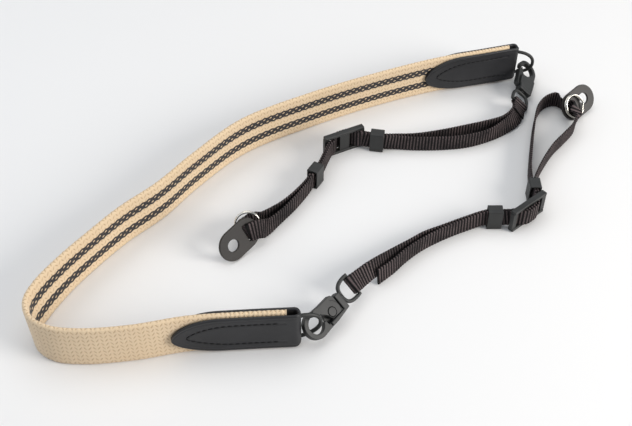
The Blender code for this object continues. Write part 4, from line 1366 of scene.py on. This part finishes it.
def add_buckle(name, spot):
    sizes = bpy.context.scene.strap_sizes
    centre, ahead, left = spot_frame(spot, BUCKLE_HEIGHT)
    seat = frame_matrix(centre + SHIFT, ahead, left)
    slot_start = BUCKLE_PLATE / 2
    slot_end = BUCKLE_LENGTH / 2 - BUCKLE_END_BAR
    inside = BUCKLE_HEIGHT - 2 * BUCKLE_RIM
    outlines = [rounded_box(BUCKLE_LENGTH, BUCKLE_HEIGHT - CLEARANCE, BUCKLE_ROUND, 0.0, 8)]
    for sign in (1.0, -1.0):
        outlines.append(rounded_box(slot_end - slot_start, inside, BUCKLE_RIM * 0.3,
                                    sign * (slot_start + slot_end) / 2, 3))
    item = round_edges(fill_plate(outlines, BUCKLE_DEPTH), BUCKLE_ROUNDING)
    rail = BUCKLE_RIM + sizes.buckle_rail_inward
    for sign in (1.0, -1.0):
        size = (BUCKLE_LENGTH - 2 * CLEARANCE, rail, BUCKLE_DEPTH + sizes.buckle_rail_depth)
        block = add_block(size, (0.0, sign * (BUCKLE_HEIGHT - rail) / 2, 0.0))
        combine(item, round_edges(block, RAIL_ROUNDING, 4), "UNION")
    item.data.transform(seat)
    settle(item, "strap_" + name, "plastic", (name,))


def rod_place(start, length):
    """Lays a rod along X from a start."""
    return Matrix.Translation((start + length / 2, 0.0, 0.0)) @ ONTO_X


def hook_outline():
    """Loop, spine and crossbar stub of the snap hook in one outline."""
    outer = HOOK_LOOP_OUTER
    face = -HOOK_LOOP_INNER
    points = arc(outer, TIP_OUTER_ANGLE, 270.0, 36)
    points += [(HOOK_PIN_ALONG, face - HOOK_SPINE), (HOOK_COLLAR_END, face - HOOK_SPINE * 0.6)]
    points += [(HOOK_COLLAR_END, face), (outer * 0.84, face)]
    points += [(outer * 0.80, face * 0.42)]
    points += arc(HOOK_LOOP_INNER, STUB_ANGLE, TIP_INNER_ANGLE, 40)
    return points


def add_hook_frame(side, seat):
    name = "hook_frame_" + side.name
    outer, face = HOOK_LOOP_OUTER, -HOOK_LOOP_INNER
    item = round_edges(fill_plate([hook_outline()], HOOK_LOOP_DEPTH), LOOP_ROUNDING, 4)
    spine = [(outer * 0.95, face - HOOK_SPINE * 0.99), (HOOK_PIN_ALONG, face - HOOK_SPINE),
             (HOOK_COLLAR_END, face - HOOK_SPINE * 0.6), (HOOK_COLLAR_END, outer * 0.5),
             (HOOK_COLLAR_START, outer * 0.5), (HOOK_COLLAR_START, face), (outer * 0.95, face)]
    body = round_edges(fill_plate([spine], HOOK_DEPTH), SPINE_ROUNDING)
    combine(item, body, "UNION")
    cheek = round_edges(fill_plate([scaled(CHEEK)], HOOK_CHEEK), CHEEK_ROUNDING, 2)
    lift = (HOOK_CHEEK - HOOK_DEPTH) / 2 + CLEARANCE / 3
    cheek.data.transform(Matrix.Translation((0.0, 0.0, lift)))
    combine(item, cheek, "UNION")
    length = HOOK_DEPTH - HOOK_CHEEK / 2
    place = (HOOK_PIN_ALONG, HOOK_PIN_ACROSS, (HOOK_DEPTH - length) / 2 + 0.00022)
    pin = add_rod(HOOK_PIN_RADIUS, length, Matrix.Translation(place), 48)
    round_edges(pin, PIN_ROUNDING, 2)
    combine(item, pin, "UNION")
    start = HOOK_COLLAR_START + CLEARANCE
    length = HOOK_COLLAR_END - start + HOOK_CHEEK
    bore = add_rod(EYE_STEM_RADIUS + CLEARANCE, length, rod_place(start, length))
    combine(item, bore, "DIFFERENCE")
    item.data.transform(seat)
    settle(item, "snap_" + name, "plastic", (name,))


def add_gate_lever(side, seat):
    name = "gate_lever_" + side.name
    pin = (HOOK_PIN_ALONG, HOOK_PIN_ACROSS)
    spine_side = CLEARANCE - HOOK_LOOP_INNER
    outline = scaled(LEVER_NOSE)
    outline += arc(HOOK_HUB_RADIUS, 180.0, 275.0, 10, pin)
    outline += [(HOOK_LEVER_END, spine_side), (HOOK_LEVER_END, HOOK_LOOP_OUTER * 0.52)]
    outline += [(HOOK_LEVER_END * 0.95, HOOK_LOOP_OUTER * 0.74)]
    bore = arc(HOOK_PIN_RADIUS + CLEARANCE, 0.0, 352.0, 44, pin)
    depth = HOOK_DEPTH - HOOK_CHEEK - CLEARANCE * 4 / 3
    item = round_edges(fill_plate([outline, bore], depth), LEVER_ROUNDING)
    item.data.transform(Matrix.Translation((0.0, 0.0, (HOOK_DEPTH - depth) / 2)))
    top = HOOK_DEPTH / 2
    line = [(x, y, top) for x, y in arc(LEVER_LINE_RADIUS, *LEVER_LINE_ANGLES, 30, pin)]
    groove = bend_wire(line, LEVER_LINE_WIRE, False, 2)
    combine(item, groove, "DIFFERENCE")
    item.data.transform(seat)
    settle(item, "snap_" + name, "plastic", (name,), body="gate_" + side.name)


def add_swivel_eye(side, seat):
    name = "swivel_eye_" + side.name
    item = bend_wire(d_shape(EYE_BAR, -EYE_DEPTH, EYE_FULLNESS), EYE_WIRE / 2, True, 5)
    item.data.transform(Matrix.Translation((EYE_BAR_ALONG, 0.0, 0.0)))
    start = HOOK_COLLAR_START + CLEARANCE * 2
    length = EYE_BAR_ALONG - EYE_DEPTH - start
    combine(item, add_rod(EYE_STEM_RADIUS, length, rod_place(start, length)), "UNION")
    item.data.transform(seat)
    settle(item, "snap_" + name, "plastic", (name,), EYE_SMOOTH)


def add_protector(side):
    name = "lug_protector_" + side.name
    ends = arc(PROTECTOR_WIDTH / 2, -90.0, 90.0, 36, (PROTECTOR_ARC_CENTRE, 0.0))
    ends += arc(PROTECTOR_WIDTH / 2, 90.0, 270.0, 36, (-PROTECTOR_ARC_CENTRE, 0.0))
    hole = arc(PROTECTOR_HOLE / 2, 0.0, 351.0, 39, (PROTECTOR_ARC_CENTRE, 0.0))
    slot_at = -PROTECTOR_ARC_CENTRE - PROTECTOR_SLOT_PAST_CENTRE
    width_share, length_share = PROTECTOR_SLOT_OPENING
    slot = rounded_box(PROTECTOR_SLOT_WIDTH * width_share, PROTECTOR_SLOT_LENGTH * length_share,
                       PROTECTOR_SLOT_WIDTH * PROTECTOR_SLOT_ROUND, slot_at, 5)
    item = round_edges(fill_plate([ends, hole, slot], PROTECTOR_LEATHER), PROTECTOR_ROUNDING)
    item.data.transform(plate_seat(side))
    settle(item, "leather_" + name, "lug", (name,))


def add_split_ring(side):
    name = "split_ring_" + side.name
    pose = side.ring
    seat = slot_seat(side)
    centre = plate_place(seat, pose)
    radius = (SPLIT_OUTER - SPLIT_WIRE) / 2
    pitch = SPLIT_WIRE + CLEARANCE / 2
    points = []
    for index in range(int(SPLIT_STEPS * SPLIT_TURNS) + 1):
        turns = index / SPLIT_STEPS
        rise = min(1.0, max(0.0, (turns - SPLIT_RISE_START) / SPLIT_RISE_TURNS))
        angle = 2 * math.pi * turns
        points.append((radius * math.cos(angle), radius * math.sin(angle), (rise - 0.5) * pitch))
    item = bend_wire(points, SPLIT_WIRE / 2, False, 4)
    along = np.array(seat)[:3, 0]
    face = unit(pose.face)
    item.data.transform(frame_matrix(centre, along - (along @ face) * face, face))
    settle(item, "wire_" + name, "nickel", (name,), WIRE_SMOOTH)


def add_stage():
    clean_start()
    bpy.ops.mesh.primitive_grid_add(x_subdivisions=8, y_subdivisions=8, size=6.0)
    floor = bpy.context.active_object
    floor.name = "table_top"
    floor.data.materials.append(finish_for("floor"))
    for lamp in LAMPS:
        light = bpy.data.lights.new(lamp.name, "AREA")
        light.shape = "DISK"
        light.size = lamp.size
        light.energy = lamp.power
        light.color = lamp.colour
        item = bpy.data.objects.new(lamp.name, light)
        bpy.context.scene.collection.objects.link(item)
        item.location = lamp.place
        item.rotation_euler = (-Vector(lamp.place)).to_track_quat("-Z", "Y").to_euler()
    world = bpy.data.worlds.new("soft_studio")
    bpy.context.scene.world = world
    world.use_nodes = True
    sky = world.node_tree.nodes["Background"]
    sky.inputs["Color"].default_value = SKY_COLOUR
    sky.inputs["Strength"].default_value = SKY_STRENGTH
    lens = bpy.data.cameras.new("table_camera")
    lens.lens = CAMERA_LENS
    lens.sensor_width = 36.0
    camera = bpy.data.objects.new("table_camera", lens)
    bpy.context.scene.collection.objects.link(camera)
    camera.location = CAMERA_PLACE
    camera.rotation_euler = (math.radians(CAMERA_PITCH), 0.0, 0.0)
    bpy.context.scene.camera = camera
    bpy.context.scene.view_settings.view_transform = "Standard"


def size_property(name, text, default):
    return bpy.props.FloatProperty(name=name, description=text, default=default, unit="LENGTH")


def colour_property(name, text, default):
    return bpy.props.FloatVectorProperty(
        name=name, description=text, subtype="COLOR", size=3, default=default, min=0.0, max=1.0)


class StrapSizes(bpy.types.PropertyGroup):
    """Sizes of the strap's woven, sewn and moulded detail."""

    band_width: size_property("Band width", "Width of the wide woven band", 0.025)
    band_thickness: size_property("Band thickness", "Thickness of the wide woven band", 0.0025)
    band_end: size_property("Band end", "Distance of the band's end from the tab's fold", 0.0066)
    weave_pitch: size_property("Weave pitch", "Distance between dimples along the band", 0.0021)
    weave_row: size_property("Weave row", "Distance between two rows of dimples that line up",
                             0.0027)
    rib_pitch: size_property("Rib pitch", "Distance between cross ribs of the thin webbing", 0.0018)
    rib_height: size_property("Rib height", "Height of a cross rib of the thin webbing", 0.00026)
    stitch_pitch: size_property("Stitch pitch", "Distance between stitches on a leather tab",
                                0.0030)
    stitch_length: size_property("Stitch length", "Length of one stitch on a leather tab", 0.0024)
    stitch_inset: size_property("Stitch inset", "Distance of a stitch line from the tab's edge",
                                0.0048)
    stitch_start: size_property("Stitch start", "Distance of the first stitch from the tab's tip",
                                0.0070)
    stitch_stop: size_property("Stitch stop", "Distance of the last stitch from the tab's fold",
                               0.0080)
    crease_inset: size_property("Crease inset", "Distance of the pressed line from the tab's edge",
                                0.0017)
    buckle_rail_depth: size_property("Buckle rail depth", "How far the rails stand out of the buckle",
                                     0.0010)
    buckle_rail_inward: size_property("Buckle rail width", "How far a rail reaches into the slots",
                                      0.0002)
    tab_corner: size_property("Tab corner", "Radius of the tab's lower corner at its fold", 0.0022)


class StrapColours(bpy.types.PropertyGroup):
    """Colours of the strap's finishes and of its table."""

    linen: colour_property("Linen", "Band webbing", (0.72, 0.555, 0.365))
    stripe: colour_property("Stripe", "Chain stripes of the band", (0.014, 0.010, 0.010))
    leather: colour_property("Tab leather", "Leather of the end tabs", (0.020, 0.020, 0.022))
    lug_leather: colour_property("Lug leather", "Leather of the lug protectors",
                                 (0.024, 0.0205, 0.0185))
    thin_webbing: colour_property("Thin webbing", "Thin straps", (0.0075, 0.0062, 0.0068))
    plastic: colour_property("Plastic", "Hooks, buckles, keepers and D-rings",
                             (0.020, 0.0205, 0.020))
    nickel: colour_property("Nickel", "Split rings", (0.78, 0.75, 0.68))
    floor: colour_property("Table", "Table top", (0.82, 0.81, 0.80))


class STRAP_OT_stage(bpy.types.Operator):
    """Add the pale table, the soft lights and the camera"""

    bl_idname = "camera_strap.stage"
    bl_label = "Stage"

    def execute(self, context):
        add_stage()
        return {"FINISHED"}


class STRAP_OT_band(bpy.types.Operator):
    """Add the wide woven band with its chain stripes"""

    bl_idname = "camera_strap.band"
    bl_label = "Woven band"

    def execute(self, context):
        add_band()
        return {"FINISHED"}


class STRAP_OT_tabs(bpy.types.Operator):
    """Add the folded leather tabs and their stitches"""

    bl_idname = "camera_strap.tabs"
    bl_label = "Leather tabs"

    def execute(self, context):
        for side in SIDES:
            add_tab(side)
        return {"FINISHED"}


class STRAP_OT_rings(bpy.types.Operator):
    """Add the D-rings in the tabs and the split rings on the protectors"""

    bl_idname = "camera_strap.rings"
    bl_label = "Rings"

    def execute(self, context):
        for side in SIDES:
            add_d_ring(side)
            add_split_ring(side)
        return {"FINISHED"}


class STRAP_OT_thin_straps(bpy.types.Operator):
    """Add the thin ribbed straps and the stitches at their eyes"""

    bl_idname = "camera_strap.thin_straps"
    bl_label = "Thin straps"

    def execute(self, context):
        for side in SIDES:
            add_thin_strap(side)
        return {"FINISHED"}


class STRAP_OT_keepers(bpy.types.Operator):
    """Add the four keepers"""

    bl_idname = "camera_strap.keepers"
    bl_label = "Keepers"

    def execute(self, context):
        for side in SIDES:
            add_keeper("keeper_%s_near" % side.name, side.near_keeper)
            add_keeper("keeper_%s_end" % side.name, side.far_keeper)
        return {"FINISHED"}


class STRAP_OT_buckles(bpy.types.Operator):
    """Add the two ladder buckles"""

    bl_idname = "camera_strap.buckles"
    bl_label = "Ladder buckles"

    def execute(self, context):
        for side in SIDES:
            add_buckle("ladder_buckle_" + side.name, side.buckle)
        return {"FINISHED"}


class STRAP_OT_hooks(bpy.types.Operator):
    """Add the snap hooks with their levers and swivel eyes"""

    bl_idname = "camera_strap.hooks"
    bl_label = "Snap hooks"

    def execute(self, context):
        for side in SIDES:
            seat = hook_seat(side)
            add_hook_frame(side, seat)
            add_gate_lever(side, seat)
            add_swivel_eye(side, seat)
        return {"FINISHED"}


class STRAP_OT_protectors(bpy.types.Operator):
    """Add the leather lug protectors"""

    bl_idname = "camera_strap.protectors"
    bl_label = "Lug protectors"

    def execute(self, context):
        for side in SIDES:
            add_protector(side)
        return {"FINISHED"}


STEPS = (STRAP_OT_stage, STRAP_OT_band, STRAP_OT_tabs, STRAP_OT_rings, STRAP_OT_thin_straps,
         STRAP_OT_keepers, STRAP_OT_buckles, STRAP_OT_hooks, STRAP_OT_protectors)


class STRAP_PT_panel(bpy.types.Panel):
    """Lists the strap's steps, sizes and colours"""

    bl_idname = "STRAP_PT_panel"
    bl_label = "Camera strap"
    bl_space_type = "VIEW_3D"
    bl_region_type = "UI"
    bl_category = "Camera strap"

    def draw(self, context):
        for step in STEPS:
            self.layout.operator(step.bl_idname)
        for group in (context.scene.strap_sizes, context.scene.strap_colours):
            for name in group.__annotations__:
                self.layout.prop(group, name)


CLASSES = (StrapSizes, StrapColours, *STEPS, STRAP_PT_panel)


def register():
    for item in CLASSES:
        bpy.utils.register_class(item)
    bpy.types.Scene.strap_sizes = bpy.props.PointerProperty(type=StrapSizes)
    bpy.types.Scene.strap_colours = bpy.props.PointerProperty(type=StrapColours)


def unregister():
    del bpy.types.Scene.strap_colours
    del bpy.types.Scene.strap_sizes
    for item in reversed(CLASSES):
        bpy.utils.unregister_class(item)


def main():
    register()
    for step in STEPS:
        group, name = step.bl_idname.split(".")
        getattr(getattr(bpy.ops, group), name)()
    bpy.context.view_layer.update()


if __name__ == "__main__":
    main()
